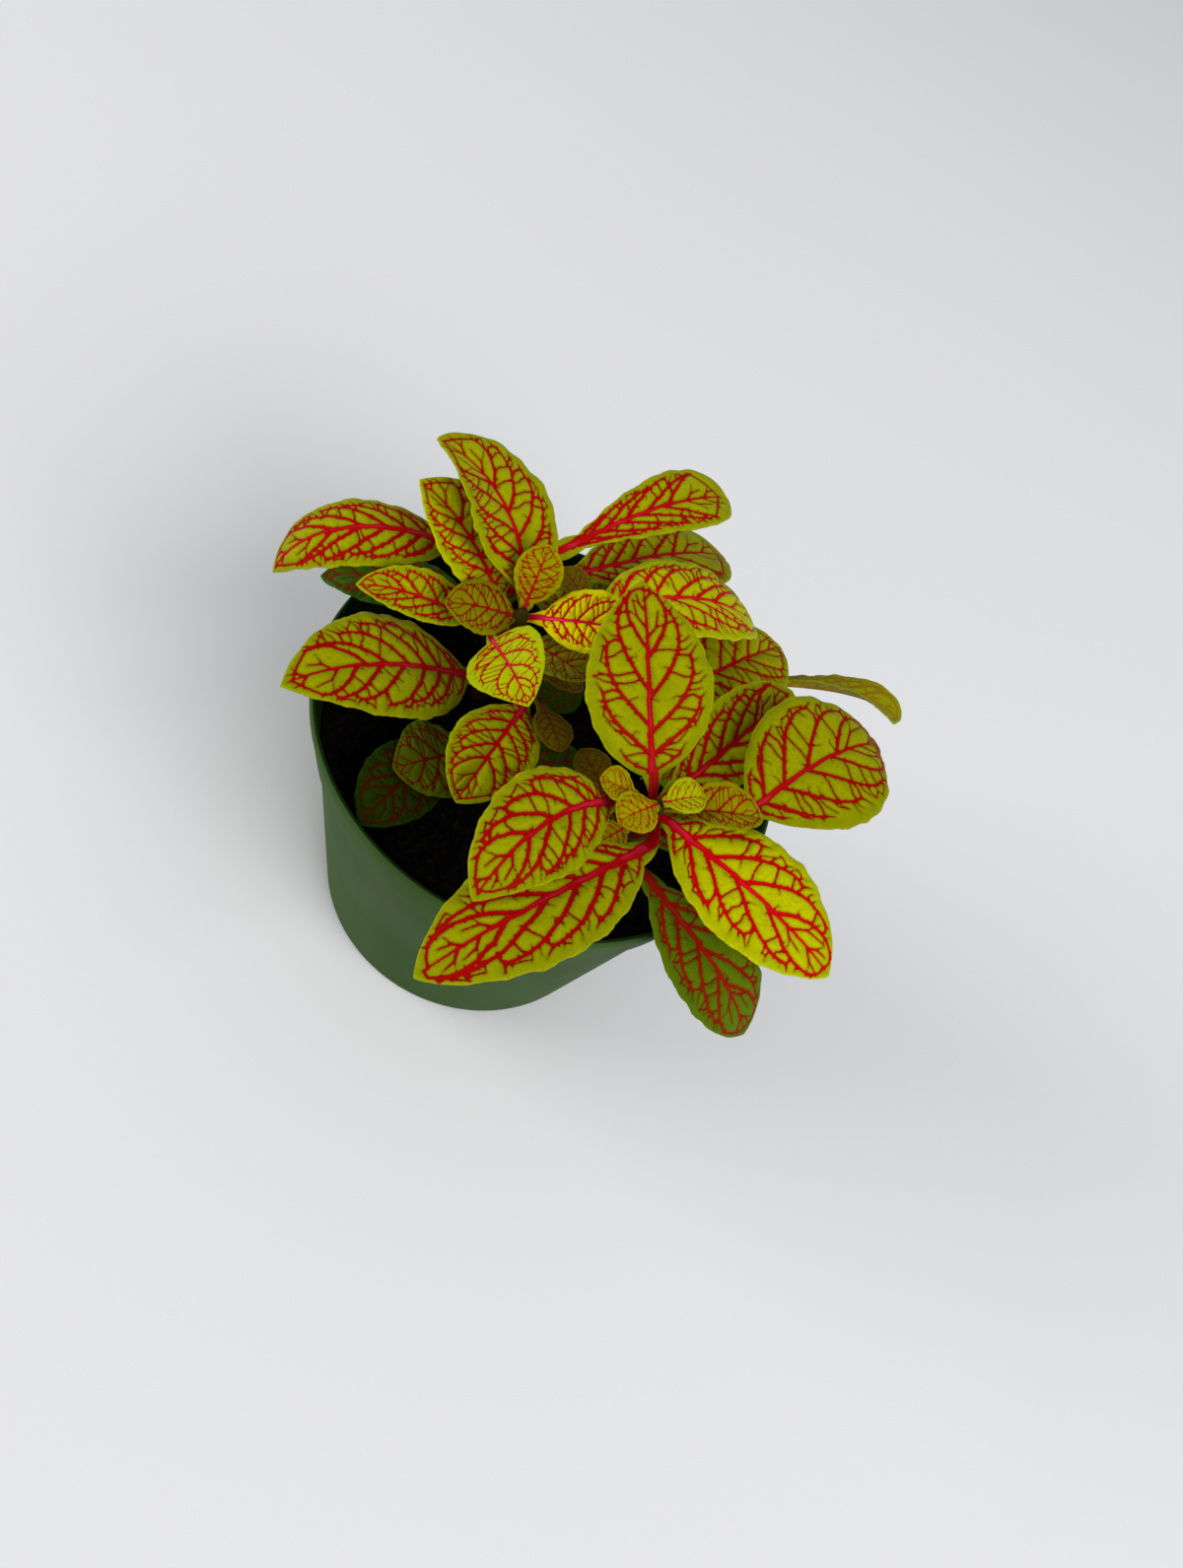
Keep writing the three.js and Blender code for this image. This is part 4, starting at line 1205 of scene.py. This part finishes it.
class LeafForm:
    """The flat plan of a leaf and the bent surface that it lies on."""

    STEPS = 240
    OUTLINE_POWER = 1.6

    def __init__(self, leaf: Leaf, foot: np.ndarray) -> None:
        """Work out the midrib.

        Args:
            leaf: The leaf.
            foot: The point on the stem's axis that it grows from.
        """
        self.leaf = leaf
        whole = leaf.petiole + leaf.length
        self.stations = np.linspace(0, whole, self.STEPS + 1)
        middles = (self.stations[1:] + self.stations[:-1]) / 2
        steps = self.directions(middles)[0] * (whole / self.STEPS)
        self.midrib = np.vstack([foot, foot + np.cumsum(steps, axis=0)])

    def directions(self, distance: np.ndarray) -> tuple[np.ndarray, np.ndarray, np.ndarray]:
        """The forward, right and up directions at distances along the stalk and the midrib.

        Args:
            distance: The distances from the stem's axis.

        Returns:
            The three directions, a row for each distance.
        """
        leaf = self.leaf
        along = np.maximum(0, (distance - leaf.petiole) / leaf.length)
        back = np.maximum(0, 1 - distance / leaf.petiole)
        heading = np.radians(leaf.heading + leaf.bend * back + leaf.sweep * along)
        pitch = np.radians(leaf.pitch - leaf.droop * along ** 2)
        roll = np.radians(leaf.roll + leaf.twist * along ** 3)[:, None]
        forward = np.stack([np.cos(pitch) * np.cos(heading), np.cos(pitch) * np.sin(heading),
                            np.sin(pitch)], -1)
        level = np.stack([np.sin(heading), -np.cos(heading), np.zeros_like(heading)], -1)
        normal = np.cross(level, forward)
        return (forward, level * np.cos(roll) + normal * np.sin(roll),
                normal * np.cos(roll) - level * np.sin(roll))

    def places(self, distance: np.ndarray) -> np.ndarray:
        """The points at distances along the stalk and the midrib."""
        return np.stack([np.interp(distance, self.stations, self.midrib[:, k]) for k in range(3)], -1)

    def half_width(self, along: np.ndarray | float) -> np.ndarray | float:
        """Half the blade's width.

        Args:
            along: Where, as a share of the blade's length.

        Returns:
            The half width in millimetres.
        """
        rise = self.OUTLINE_POWER * self.leaf.widest
        fall = self.OUTLINE_POWER - rise
        peak = (rise / self.OUTLINE_POWER) ** rise * (fall / self.OUTLINE_POWER) ** fall
        return self.leaf.width / 2 * along ** rise * (1 - along) ** fall / peak


@dataclass(frozen=True)
class LeafRows:
    """A leaf's cross rows, from its stalk to its tip, in millimetres.

    x runs from the blade's foot, and share is the same as a share of the blade's length. width
    and stalk_width are half widths. notches and lifts push the left and the right rim out and
    up. places, right and up are the rows' middles and directions.
    """

    x: np.ndarray
    share: np.ndarray
    width: np.ndarray
    stalk_width: np.ndarray
    notches: tuple[np.ndarray, np.ndarray]
    lifts: tuple[np.ndarray, np.ndarray]
    places: np.ndarray
    right: np.ndarray
    up: np.ndarray


@dataclass
class LeafPiece:
    """A leaf's stalk and thin quilted blade, whose points carry the net of veins.

    Sizes are millimetres, and those of the rim and the quilting are for a leaf 40 mm long.
    """

    leaf: Leaf
    stem: Stem
    blade_thickness: float = 0.42
    stalk_half_width: float = 0.9
    stalk_half_height: float = 0.8
    stalk_step: float = 0.6
    # A stalk is coloured like a vein whose edge is this far away.
    stalk_gap: float = -0.25
    wing: float = 1.7
    # The rows stand evenly up to the first share of the blade, and close up in the second.
    even_share: float = 0.93
    tip_share: float = 0.07
    tip_rows: int = 14
    # The rim's fine notches and its wide scallops: how deep and how far apart.
    notch: float = 0.05
    notch_gap: float = 2.1
    scallop: float = 0.15
    scallop_gap: float = 5.3
    uneven_gap: float = 9.1
    # The quilting: how far a field bulges, a vein and the midrib sink, and the midrib stands up.
    bulge: float = 0.34
    channel: float = 0.16
    valley: float = 0.4
    rib: float = 0.3

    def __post_init__(self) -> None:
        """Work out the leaf's form, its net of veins and how closely its points stand."""
        self.form = LeafForm(self.leaf, self.stem.point(self.leaf.height))
        self.net = VeinNet(self.leaf, lambda share: float(self.form.half_width(share)), VeinHabit())
        self.draw = seeded(self.leaf.name + " blade")
        self.size = self.leaf.size
        self.start = max(0.0, self.stem.radius(self.leaf.height) - 0.5)
        self.pitch = max(0.09, 0.22 * self.size ** 0.7)

    def rim_waves(self, share: np.ndarray) -> tuple[np.ndarray, np.ndarray]:
        """The notches of one rim and its slow waves up and down.

        Args:
            share: Shares of the blade's length.

        Returns:
            How far the rim is pushed out and how far it is lifted, in millimetres.
        """
        leaf, size = self.leaf, self.size
        phase, slow = (self.draw.uniform(0, 2 * math.pi) for _ in range(2))
        x = share * leaf.length
        body = np.sin(math.pi * np.clip(share, 0, 1)) ** 0.5
        turn = 2 * math.pi * x
        uneven = 1.8 * np.sin(turn / (self.uneven_gap * size) + slow)
        notch = self.notch * size ** 0.5 * np.sin(turn / (self.notch_gap * size ** 0.5) + phase + uneven)
        notch += self.scallop * size * np.sin(turn / (self.scallop_gap * size) + slow)
        lift = 0.012 * leaf.width * np.sin(turn / (0.27 * leaf.length) + slow)
        lift += 0.006 * leaf.width * np.sin(turn / (0.11 * leaf.length) + phase)
        return notch * body, lift * body

    def rows(self) -> LeafRows:
        """Work out the cross rows of the stalk and the blade.

        Returns:
            The rows.
        """
        leaf = self.leaf
        stalk = np.arange(self.start, leaf.petiole - 0.2, self.stalk_step)
        even = np.linspace(0.0, self.even_share, int(self.even_share * leaf.length / self.pitch))
        close = 1 - self.tip_share * (1 - np.linspace(0, 1, self.tip_rows)[1:]) ** 1.6
        shares = np.concatenate([even, close[:-1], [0.9996]])
        x = np.concatenate([stalk - leaf.petiole, shares * leaf.length])
        share = np.clip(x / leaf.length, 0, 1)
        distance = leaf.petiole + x
        _, right, up = self.form.directions(distance)
        right_notch, right_lift = self.rim_waves(share)
        left_notch, left_lift = self.rim_waves(share)
        stalk_width = self.stalk_half_width * (1 - smooth_step(share, 0.0, 0.35) * 0.999)
        # The blade's foot runs a little way down the stalk as two narrow wings.
        wings = smooth_step(x, -min(4.5 * self.size, 0.6 * leaf.petiole), 0.07 * leaf.length)
        stalk_width += self.wing * self.size ** 0.8 * wings * (1 - smooth_step(share, 0.07, 0.3))
        return LeafRows(x, share, self.form.half_width(share), stalk_width, (left_notch, right_notch),
                        (left_lift, right_lift), self.form.places(distance), right, up)

    def build(self, material: bpy.types.Material) -> bpy.types.Object:
        """Make the leaf's mesh and dress it.

        Args:
            material: The leaf's material.

        Returns:
            The leaf's object.
        """
        leaf = self.leaf
        rows = self.rows()
        columns = 2 * max(6, round(leaf.width / self.pitch / 2))
        top = self.sheet(rows, np.linspace(-1, 1, columns + 1), top=True)
        under = self.sheet(rows, np.linspace(1, -1, max(8, columns // 3 // 2 * 2) + 1), top=False)
        points, gap, rank, rim = (np.concatenate(both, axis=1) for both in zip(top, under))
        ends = [points[0].mean(0), points[-1].mean(0)]
        dry = np.zeros_like(gap)
        if leaf.dry_tip:
            from_tip = (leaf.length - rows.x)[:, None] + 0.5 * rim
            dry += 1 - smooth_step(from_tip, 0.5 * leaf.dry_tip, leaf.dry_tip)
        # A young leaf's veins are as crisp as they are thin, and the stalk is an even red.
        gap = gap / self.net.softness
        gap = np.where(rows.x[:, None] < 0, np.maximum(gap, self.stalk_gap), gap)
        # The stalk and the blade's foot are darker than the rest: partly the stalk's own darker colour,
        # partly painted shade where the leaves crowd at the stem.
        lit = 0.5 + 0.5 * smooth_step(rows.x, -0.6 * leaf.petiole, 0.14 * leaf.length)
        shade = np.broadcast_to((leaf.shade * lit)[:, None], gap.shape)
        values = dict(zip(LeafTissue.CARRIED, (gap, rank, rim, dry, shade)))
        values = {label: np.append(v.ravel(), [v[0, 0], v[-1, 0]]) for label, v in values.items()}
        return make_piece(f"{leaf.name}_fine", np.vstack([points.reshape(-1, 3), ends]),
                          tube_faces(*points.shape[:2]), [material], None, values)

    def sheet(self, rows: LeafRows, side: np.ndarray, top: bool) -> tuple[np.ndarray, ...]:
        """One face of the leaf, top or underside, as rows of points with their vein values.

        Args:
            rows: The cross rows.
            side: The columns' places across the half width, -1 to 1.
            top: Whether this is the top.

        Returns:
            The points, each with its gap to a vein, that vein's rank and its gap to the rim.
        """
        leaf = self.leaf
        spread = np.abs(side)[None, :]
        onto_right = (side > 0)[None, :]
        half = np.maximum(rows.width, rows.stalk_width)[:, None]
        notch = np.where(onto_right, rows.notches[1][:, None], rows.notches[0][:, None])
        lift = np.where(onto_right, rows.lifts[1][:, None], rows.lifts[0][:, None])
        across = side[None, :] * (half + notch * spread ** 3)
        gap, rank, main_gap, main_half = self.net.measure(rows.x, across)
        share = rows.share[:, None]
        blade = smooth_step(share, 0.0, 0.14)
        quilt = self.quilting(across, main_gap, main_half, half, share)
        wave = lift * spread ** 2.2
        thin = self.blade_thickness / 2 * self.size ** 0.3 * (1 - 0.55 * spread ** 6)
        if top:
            dome = 0.62 * self.stalk_half_height * np.sqrt(np.clip(1 - spread ** 2, 0, 1))
            offset = blade * (thin + quilt + wave) + (1 - blade) * dome
        else:
            rib_width = np.maximum(rows.stalk_width, 0.25)[:, None]
            rib = np.sqrt(np.clip(1 - (across / rib_width) ** 2, 0, 1))
            keel = (self.stalk_half_height * 2 - self.blade_thickness) * (1 - share) ** 1.3
            ridge = 0.8 * keel * rib + 0.16 * self.size * np.exp(-np.maximum(main_gap, 0) / 0.35)
            dome = self.stalk_half_height * 1.1 * np.sqrt(np.clip(1 - spread ** 2, 0, 1))
            offset = blade * (quilt + wave - thin - ridge) - (1 - blade) * dome
        turn = np.radians(leaf.fold + leaf.curl * spread)
        points = (rows.places[:, None, :] + rows.right[:, None, :] * (across * np.cos(turn))[..., None]
                  + rows.up[:, None, :] * (np.abs(across) * np.sin(turn) + offset)[..., None])
        to_tip = (leaf.length - rows.x)[:, None] * 0.7
        rim = np.where(share <= 0, 5.0, np.minimum(half - np.abs(across), to_tip))
        return points, gap, rank, rim

    def quilting(self, across: np.ndarray, main_gap: np.ndarray, main_half: np.ndarray,
                 half: np.ndarray, share: np.ndarray) -> np.ndarray:
        """How far the blade bulges between its veins and sinks along them.

        Args:
            across: The points' distances across the midrib.
            main_gap: Their gaps to the nearest vein that isn't thin.
            main_half: That vein's half width.
            half: The blade's half width in each row.
            share: The rows as shares of the blade's length.

        Returns:
            The rise of each point, in millimetres.
        """
        size = self.size ** 0.8
        bulge = self.bulge * size * (1 - np.exp(-np.maximum(main_gap, 0) / (0.9 * size)))
        channel = -self.channel * size * np.exp(-((main_gap + main_half) / (main_half + 0.35)) ** 2)
        valley = -self.valley * size * np.exp(-(across / (2.1 * size)) ** 2) * (1 - share) ** 0.5
        rib_width = 0.8 * self.size ** 0.6 * (1 - share) ** 0.75 + 0.2
        rib = self.rib * size * np.sqrt(np.clip(1 - (across / rib_width) ** 2, 0, 1)) * (1 - share) ** 0.5
        fade = smooth_step(half - np.abs(across), 0.0, 1.2 * size)
        return (bulge + channel) * fade + valley + rib


@dataclass
class Shoot:
    """One stem with its leaves, in millimetres."""

    name: str
    axis: Stem
    leaves: Sequence[Leaf]
    sides: int = 20
    ring_step: float = 0.7
    # How far the stem reaches into the peat, and how it swells where a leaf leaves it.
    rooted: float = 11
    node_swell: float = 0.3
    node_most: float = 0.45
    node_half_height: float = 1.3
    ribs: int = 4
    rib_depth: float = 0.04

    def build(self, materials: dict[Tone, bpy.types.Material], flesh: bpy.types.Material) -> None:
        """Make the stem and its leaves, which replace the plain ones.

        Args:
            materials: The material of each tone of leaf.
            flesh: The stem's material.
        """
        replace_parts(self.stem(flesh), f"stem_{self.name}")
        for leaf in self.leaves:
            made = LeafPiece(leaf, self.axis).build(materials[leaf.tone])
            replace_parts(made, f"stem_{self.name}" if leaf.fused else leaf.name)

    def stem(self, flesh: bpy.types.Material) -> bpy.types.Object:
        """Make the stem, which swells where each leaf leaves it and ends in a small bud.

        Args:
            flesh: The stem's material.

        Returns:
            The stem's object.
        """
        top = self.axis.top[2]
        turns = np.linspace(0, 2 * math.pi, self.sides, endpoint=False)
        rings = []
        for height in np.arange(SOIL_TOP - self.rooted, top, self.ring_step):
            plain = self.axis.radius(height)
            swell = sum(self.node_swell * math.exp(-((height - leaf.height) / self.node_half_height) ** 2)
                        for leaf in self.leaves)
            radius = min(plain + swell, plain + self.node_most)
            radius *= min(1.0, math.sqrt(max((top + 0.4 - height) / 1.6, 0.02)))
            ribs = 1 + self.rib_depth * np.cos(self.ribs * turns)
            rings.append(self.axis.point(height) + ring(radius * ribs, turns, 0))
        points = np.vstack([*rings, rings[0].mean(0), rings[-1].mean(0) + (0, 0, 0.3)])
        faces = tube_faces(len(rings), self.sides)
        return make_piece(f"stem_{self.name}_fine", points, faces, [flesh])


# ---- pot and peat ----


@dataclass
class NurseryPot:
    """The round tapered pot, moulded in one piece, in millimetres."""

    height: float = 75
    rim_radius: float = 52.5
    collar_height: float = 13
    collar_low_radius: float = 49.9
    collar_step: float = 1.0
    base_radius: float = 38
    pad_radius: float = 15
    foot_ring_radius: float = 28
    base_hollow: float = 0.8
    wall: float = 1.3
    floor: float = 1.8
    drain_holes: int = 8
    drain_radius: float = 4
    drain_ring: float = 33.5
    drill_length: float = 8
    drill_sides: int = 32
    sides: int = 192
    lip_steps: int = 5

    INSIDE_ROWS = 12

    def body_radius(self, height: float) -> float:
        """The radius of the outer wall below the collar, at a height."""
        top = self.collar_low_radius - self.collar_step
        return self.base_radius + (top - self.base_radius) * height / (self.height - self.collar_height)

    def inner_radius(self, height: float) -> float:
        """The radius of the inner wall.

        Args:
            height: The height above the pot's base.

        Returns:
            The radius.
        """
        foot = self.height - self.collar_height
        if height <= foot:
            return self.body_radius(height) - self.wall
        share = (height - foot) / self.collar_height
        return self.collar_low_radius - self.wall + (self.rim_radius - self.collar_low_radius) * share

    def profile(self) -> list[tuple[float, float]]:
        """The wall's outline from the middle of the base, up the outside and down the inside.

        Returns:
            Radii with their heights.
        """
        foot = self.height - self.collar_height
        line = foot - 1
        band = self.height - 2
        mouth = self.inner_radius(self.height)
        outline = [
            (self.pad_radius, 0), (self.pad_radius + self.base_hollow, self.base_hollow),
            (self.foot_ring_radius - self.base_hollow, self.base_hollow), (self.foot_ring_radius, 0),
            (self.base_radius - 1.5, 0), (self.base_radius - 0.4, 0.45),
            (self.body_radius(1.5), 1.5), (self.body_radius(3), 3),
            (self.body_radius(30), 30), (self.body_radius(line - 0.6), line - 0.6),
            (self.body_radius(line) + 0.3, line - 0.2), (self.body_radius(line) + 0.4, line),
            (self.body_radius(line) + 0.3, line + 0.2), (self.body_radius(line + 0.6), line + 0.6),
            (self.collar_low_radius - 0.25, foot - 0.02), (self.collar_low_radius, foot + 0.25),
            (self.collar_low_radius + 0.1, foot + 0.6),
            (self.rim_radius - 0.75, band - 1.2), (self.rim_radius - 0.6, band - 0.5),
            (self.rim_radius - 0.1, band - 0.1), (self.rim_radius, band + 0.3),
        ]
        quarter = np.linspace(0, math.pi / 2, self.lip_steps)
        outline += [(self.rim_radius - 0.5 + 0.5 * math.cos(t), self.height - 0.5 + 0.5 * math.sin(t))
                    for t in quarter]
        outline += [(mouth + 0.45 - 0.45 * math.sin(t), self.height - 0.45 + 0.45 * math.cos(t))
                    for t in quarter]
        outline += [(self.inner_radius(height), height)
                    for height in (band, foot + 0.6, foot, line - 2, self.floor + 1)]
        outline.append((self.inner_radius(self.floor) - 1, self.floor))
        return outline

    def build(self, plastic: bpy.types.Material, shaded: bpy.types.Material) -> bpy.types.Object:
        """Turn the outline, cut the drain holes and replace the plain pot.

        Args:
            plastic: The pot's material outside.
            shaded: Its material inside and on the lip's flat top, a darker copy of the plastic: painted
                shade.

        Returns:
            The pot's object.
        """
        outline = self.profile()
        turns = np.linspace(0, 2 * math.pi, self.sides, endpoint=False)
        rings = [ring(radius, turns, height) for radius, height in outline]
        points = np.vstack([*rings, (0, 0, 0), (0, 0, self.floor)])
        faces = tube_faces(len(rings), self.sides)
        # The lip's flat top, the inner wall and the floor take the darker copy of the plastic: painted
        # shade.
        kinds = np.zeros(len(faces), np.int32)
        kinds[(len(rings) - self.INSIDE_ROWS) * self.sides:(len(rings) - 1) * self.sides] = 1
        kinds[-self.sides:] = 1
        pot = make_piece("nursery_pot", points, faces, [plastic, shaded], kinds)
        self.drill(pot)
        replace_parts(pot, "pot")
        return pot

    def drill(self, pot: bpy.types.Object) -> None:
        """Cut the drain holes out of the pot's base.

        Args:
            pot: The pot's object.
        """
        cutter = bmesh.new()
        for k in range(self.drain_holes):
            turn = 2 * math.pi * (k + 0.5) / self.drain_holes
            x, y = self.drain_ring * MM * math.cos(turn), self.drain_ring * MM * math.sin(turn)
            bmesh.ops.create_cone(cutter, cap_ends=True, segments=self.drill_sides,
                                  radius1=self.drain_radius * MM, radius2=self.drain_radius * MM,
                                  depth=self.drill_length * MM, matrix=Matrix.Translation((x, y, 0)))
        mesh = bpy.data.meshes.new("drill")
        cutter.to_mesh(mesh)
        cutter.free()
        drill = put_in_scene("drill", mesh)
        cut = pot.modifiers.new("drain holes", "BOOLEAN")
        cut.operation, cut.object, cut.solver = "DIFFERENCE", drill, "EXACT"
        bpy.context.view_layer.update()
        drilled = bpy.data.meshes.new_from_object(pot.evaluated_get(bpy.context.evaluated_depsgraph_get()))
        pot.modifiers.remove(cut)
        pot.data = drilled
        drilled.name = "nursery_pot"
        bpy.data.objects.remove(drill)


@dataclass
class PottingSoil:
    """The peat that fills the pot, with crumbs and a few grains of perlite on it."""

    pot: NurseryPot
    top: float = SOIL_TOP
    side_gap: float = 0.35
    grain: float = 0.55
    mound_size: float = 9
    lump_size: float = 2.3
    crumb_size: float = 1.05
    crumbs: int = 420
    perlite: int = 9
    grit_draw: random.Random = field(default_factory=lambda: seeded("grit"))

    def height(self, x: float, y: float) -> float:
        """The height of the peat's rough top.

        Args:
            x: The place's x.
            y: Its y.

        Returns:
            The height above the pot's base.
        """
        here = Vector((x / self.mound_size, y / self.mound_size, 0.3))
        rise = 1.1 * noise.fractal(here, 0.6, 2.1, 6, noise_basis="PERLIN_ORIGINAL")
        lump = noise.voronoi(Vector((x / self.lump_size, y / self.lump_size, 1.7)))[0][0]
        small = noise.voronoi(Vector((x / self.crumb_size, y / self.crumb_size, 4.7)))[0][0]
        return self.top + rise + 0.95 * (0.45 - lump) + 0.35 * (0.4 - small)

    def build(self, peat: bpy.types.Material, white: bpy.types.Material) -> None:
        """Make the plug of peat, its crumbs and its perlite.

        Args:
            peat: The peat's material.
            white: The perlite's material.
        """
        self.plug(peat)
        self.grit("peat_crumbs", self.crumbs, (0.5, 1.5), peat)
        self.grit("perlite_grains", self.perlite, (0.5, 0.9), white)

    def plug(self, peat: bpy.types.Material) -> None:
        """Make the plug: a rough top on a plain side and base.

        Args:
            peat: The peat's material.
        """
        pot = self.pot
        radius = pot.inner_radius(self.top) - self.side_gap
        count = int(2 * radius / self.grain)
        steps = np.linspace(-1, 1, count)
        u, v = np.meshgrid(steps, steps, indexing="ij")
        x = radius * u * np.sqrt(1 - v * v / 2)
        y = radius * v * np.sqrt(1 - u * u / 2)
        z = np.array([self.height(a, b) for a, b in zip(x.ravel(), y.ravel())]).reshape(x.shape)
        top = np.stack([x, y, z], -1).reshape(-1, 3)
        number = np.arange(count * count).reshape(count, count)
        corners = [number[:-1, :-1], number[1:, :-1], number[1:, 1:], number[:-1, 1:]]
        faces = [tuple(quad) for quad in np.stack(corners, -1).reshape(-1, 4).tolist()]
        rim = np.concatenate([number[:-1, 0], number[-1, :-1], number[:0:-1, -1], number[0, :0:-1]])
        turns = np.arctan2(top[rim][:, 1], top[rim][:, 0])
        base = pot.floor + self.side_gap
        shoulder = pot.height - pot.collar_height - pot.wall
        rings = [ring(pot.inner_radius(height) - self.side_gap, turns, height)
                 for height in (shoulder, base)]
        total, around = count * count, len(rim)
        for k in range(around):
            after = (k + 1) % around
            faces.append((int(rim[after]), int(rim[k]), total + k, total + after))
            faces.append((total + after, total + k, total + around + k, total + around + after))
            faces.append((total + around + after, total + around + k, total + 2 * around))
        plug = make_piece("peat_plug", np.vstack([top, *rings, (0, 0, base)]), faces, [peat])
        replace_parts(plug, "soil")

    def grit(self, name: str, count: int, sizes: tuple[float, float], material: bpy.types.Material) -> None:
        """Scatter rough lumps on the peat, sunk into it.

        Args:
            name: The piece's name.
            count: How many lumps.
            sizes: The least and the greatest radius.
            material: Their material.
        """
        lump = bmesh.new()
        for _ in range(count):
            reach = (self.pot.inner_radius(self.top) - 3) * math.sqrt(self.grit_draw.random())
            turn = self.grit_draw.uniform(0, 2 * math.pi)
            x, y = reach * math.cos(turn), reach * math.sin(turn)
            size = self.grit_draw.uniform(*sizes)
            made = bmesh.ops.create_icosphere(lump, subdivisions=2, radius=1)["verts"]
            stretch = [size * self.grit_draw.uniform(0.6, 1.2) for _ in range(3)]
            shift = Vector([self.grit_draw.uniform(0, 50) for _ in range(3)])
            spin = Matrix.Rotation(self.grit_draw.uniform(0, math.pi), 3, "Z")
            middle = Vector((x, y, self.height(x, y) + 0.25 * size))
            for point in made:
                rough = 1 + 0.55 * noise.noise(point.co * 1.3 + shift)
                shape = Vector([c * s * rough for c, s in zip(point.co, stretch)])
                point.co = (spin @ shape + middle) * MM
        mesh = bpy.data.meshes.new(name)
        lump.to_mesh(mesh)
        lump.free()
        mesh.materials.append(material)
        ride_on_plant(name, mesh)


# ---- studio ----


@dataclass(frozen=True)
class Lamp:
    """A soft square lamp that faces the plant, in metres and watts."""

    name: str
    place: tuple[float, float, float]
    size: float
    power: float
    colour: str


@dataclass
class Studio:
    """The pale floor, the soft lights and the camera, whose place is in millimetres."""

    floor_size: float = 6.0
    sky_colour: str = "#F2F4F8"
    sky_strength: float = 0.46
    lamps: tuple[Lamp, ...] = (
        Lamp("key", (1.6, -1.1, 1.7), 1.8, 54.0, "#FDFDFF"),
        Lamp("fill", (-1.9, -0.45, 0.6), 1.3, 30.0, "#FFFEFA"),
    )
    lamps_face: tuple[float, float, float] = (0, 0, 0.08)
    camera_place: tuple[float, float, float] = (13.8, -161.9, 276.0)
    camera_elevation: float = 52.7
    camera_roll: float = 32.6
    focal_pixels: float = 1200
    sensor_width: float = 36

    def build(self) -> None:
        """Make the floor, the lights and the camera."""
        self.floor()
        self.sky()
        for lamp in self.lamps:
            self.hang(lamp)
        self.camera()
        view = bpy.context.scene.view_settings
        view.view_transform = "Standard"
        view.look = "None"

    def floor(self) -> None:
        """Lay the floor."""
        half = self.floor_size / 2
        corners = [(-half, -half, 0), (half, -half, 0), (half, half, 0), (-half, half, 0)]
        mesh = bpy.data.meshes.new("studio_floor")
        mesh.from_pydata(corners, [], [(0, 1, 2, 3)])
        mesh.materials.append(StudioPaper("Background paper, matt", roughness=0.9).material())
        put_in_scene("studio_floor", mesh)

    def sky(self) -> None:
        """Surround the scene with an even pale light."""
        world = bpy.data.worlds.new("studio_light")
        world.use_nodes = True
        back = world.node_tree.nodes["Background"]
        back.inputs["Color"].default_value = linear(self.sky_colour)
        back.inputs["Strength"].default_value = self.sky_strength
        bpy.context.scene.world = world

    def hang(self, lamp: Lamp) -> None:
        """Hang a lamp and turn it to the plant.

        Args:
            lamp: The lamp.
        """
        light = bpy.data.lights.new(lamp.name, "AREA")
        light.size, light.energy, light.color = lamp.size, lamp.power, linear(lamp.colour)[:3]
        hung = put_in_scene(lamp.name, light)
        hung.location = lamp.place
        hung.rotation_euler = (Vector(self.lamps_face) - hung.location).to_track_quat("-Z", "Y").to_euler()

    def camera(self) -> None:
        """Place the camera at the photo's angle, looking along +Y and down, and roll it."""
        lens = bpy.data.cameras.new("camera")
        lens.sensor_width = self.sensor_width
        lens.lens = self.focal_pixels / max(PHOTO_WIDTH, PHOTO_HEIGHT) * lens.sensor_width
        lens.clip_start, lens.clip_end = 0.01, 20
        tilt = Matrix.Rotation(math.radians(90 - self.camera_elevation), 4, "X")
        roll = Matrix.Rotation(math.radians(self.camera_roll), 4, "Z")
        camera = put_in_scene("camera", lens)
        camera.matrix_world = Matrix.Translation(Vector(self.camera_place) * MM) @ tilt @ roll
        bpy.context.scene.camera = camera


def main() -> None:
    """Build the studio, the pot, the peat and the shoots."""
    logging.basicConfig(level=logging.INFO, format="%(name)s: %(message)s")
    Studio().build()
    pot = NurseryPot()
    plastic = PotPolypropylene("Polypropylene, moulded, green", ior=1.49, roughness=0.42)
    # A darker copy of the plastic for the inside of the pot: painted shade.
    shaded = PotPolypropylene("Polypropylene, damp inside", ior=1.49, roughness=0.35, green="#16280E",
                            worn="#1C3012")
    pot.build(plastic.material(), shaded.material())
    PottingSoil(pot).build(Peat("Peat, moist", roughness=0.95).material(),
                           Perlite("Perlite, expanded", roughness=0.9).material())
    leaf_materials = {tone: tone.finish.material() for tone in Tone}
    flesh = StemTissue("Stem, grown, green", roughness=0.55).material()
    for name, axis in STEMS.items():
        Shoot(name, axis, LEAVES[name]).build(leaf_materials, flesh)


if __name__ == "__main__":
    main()
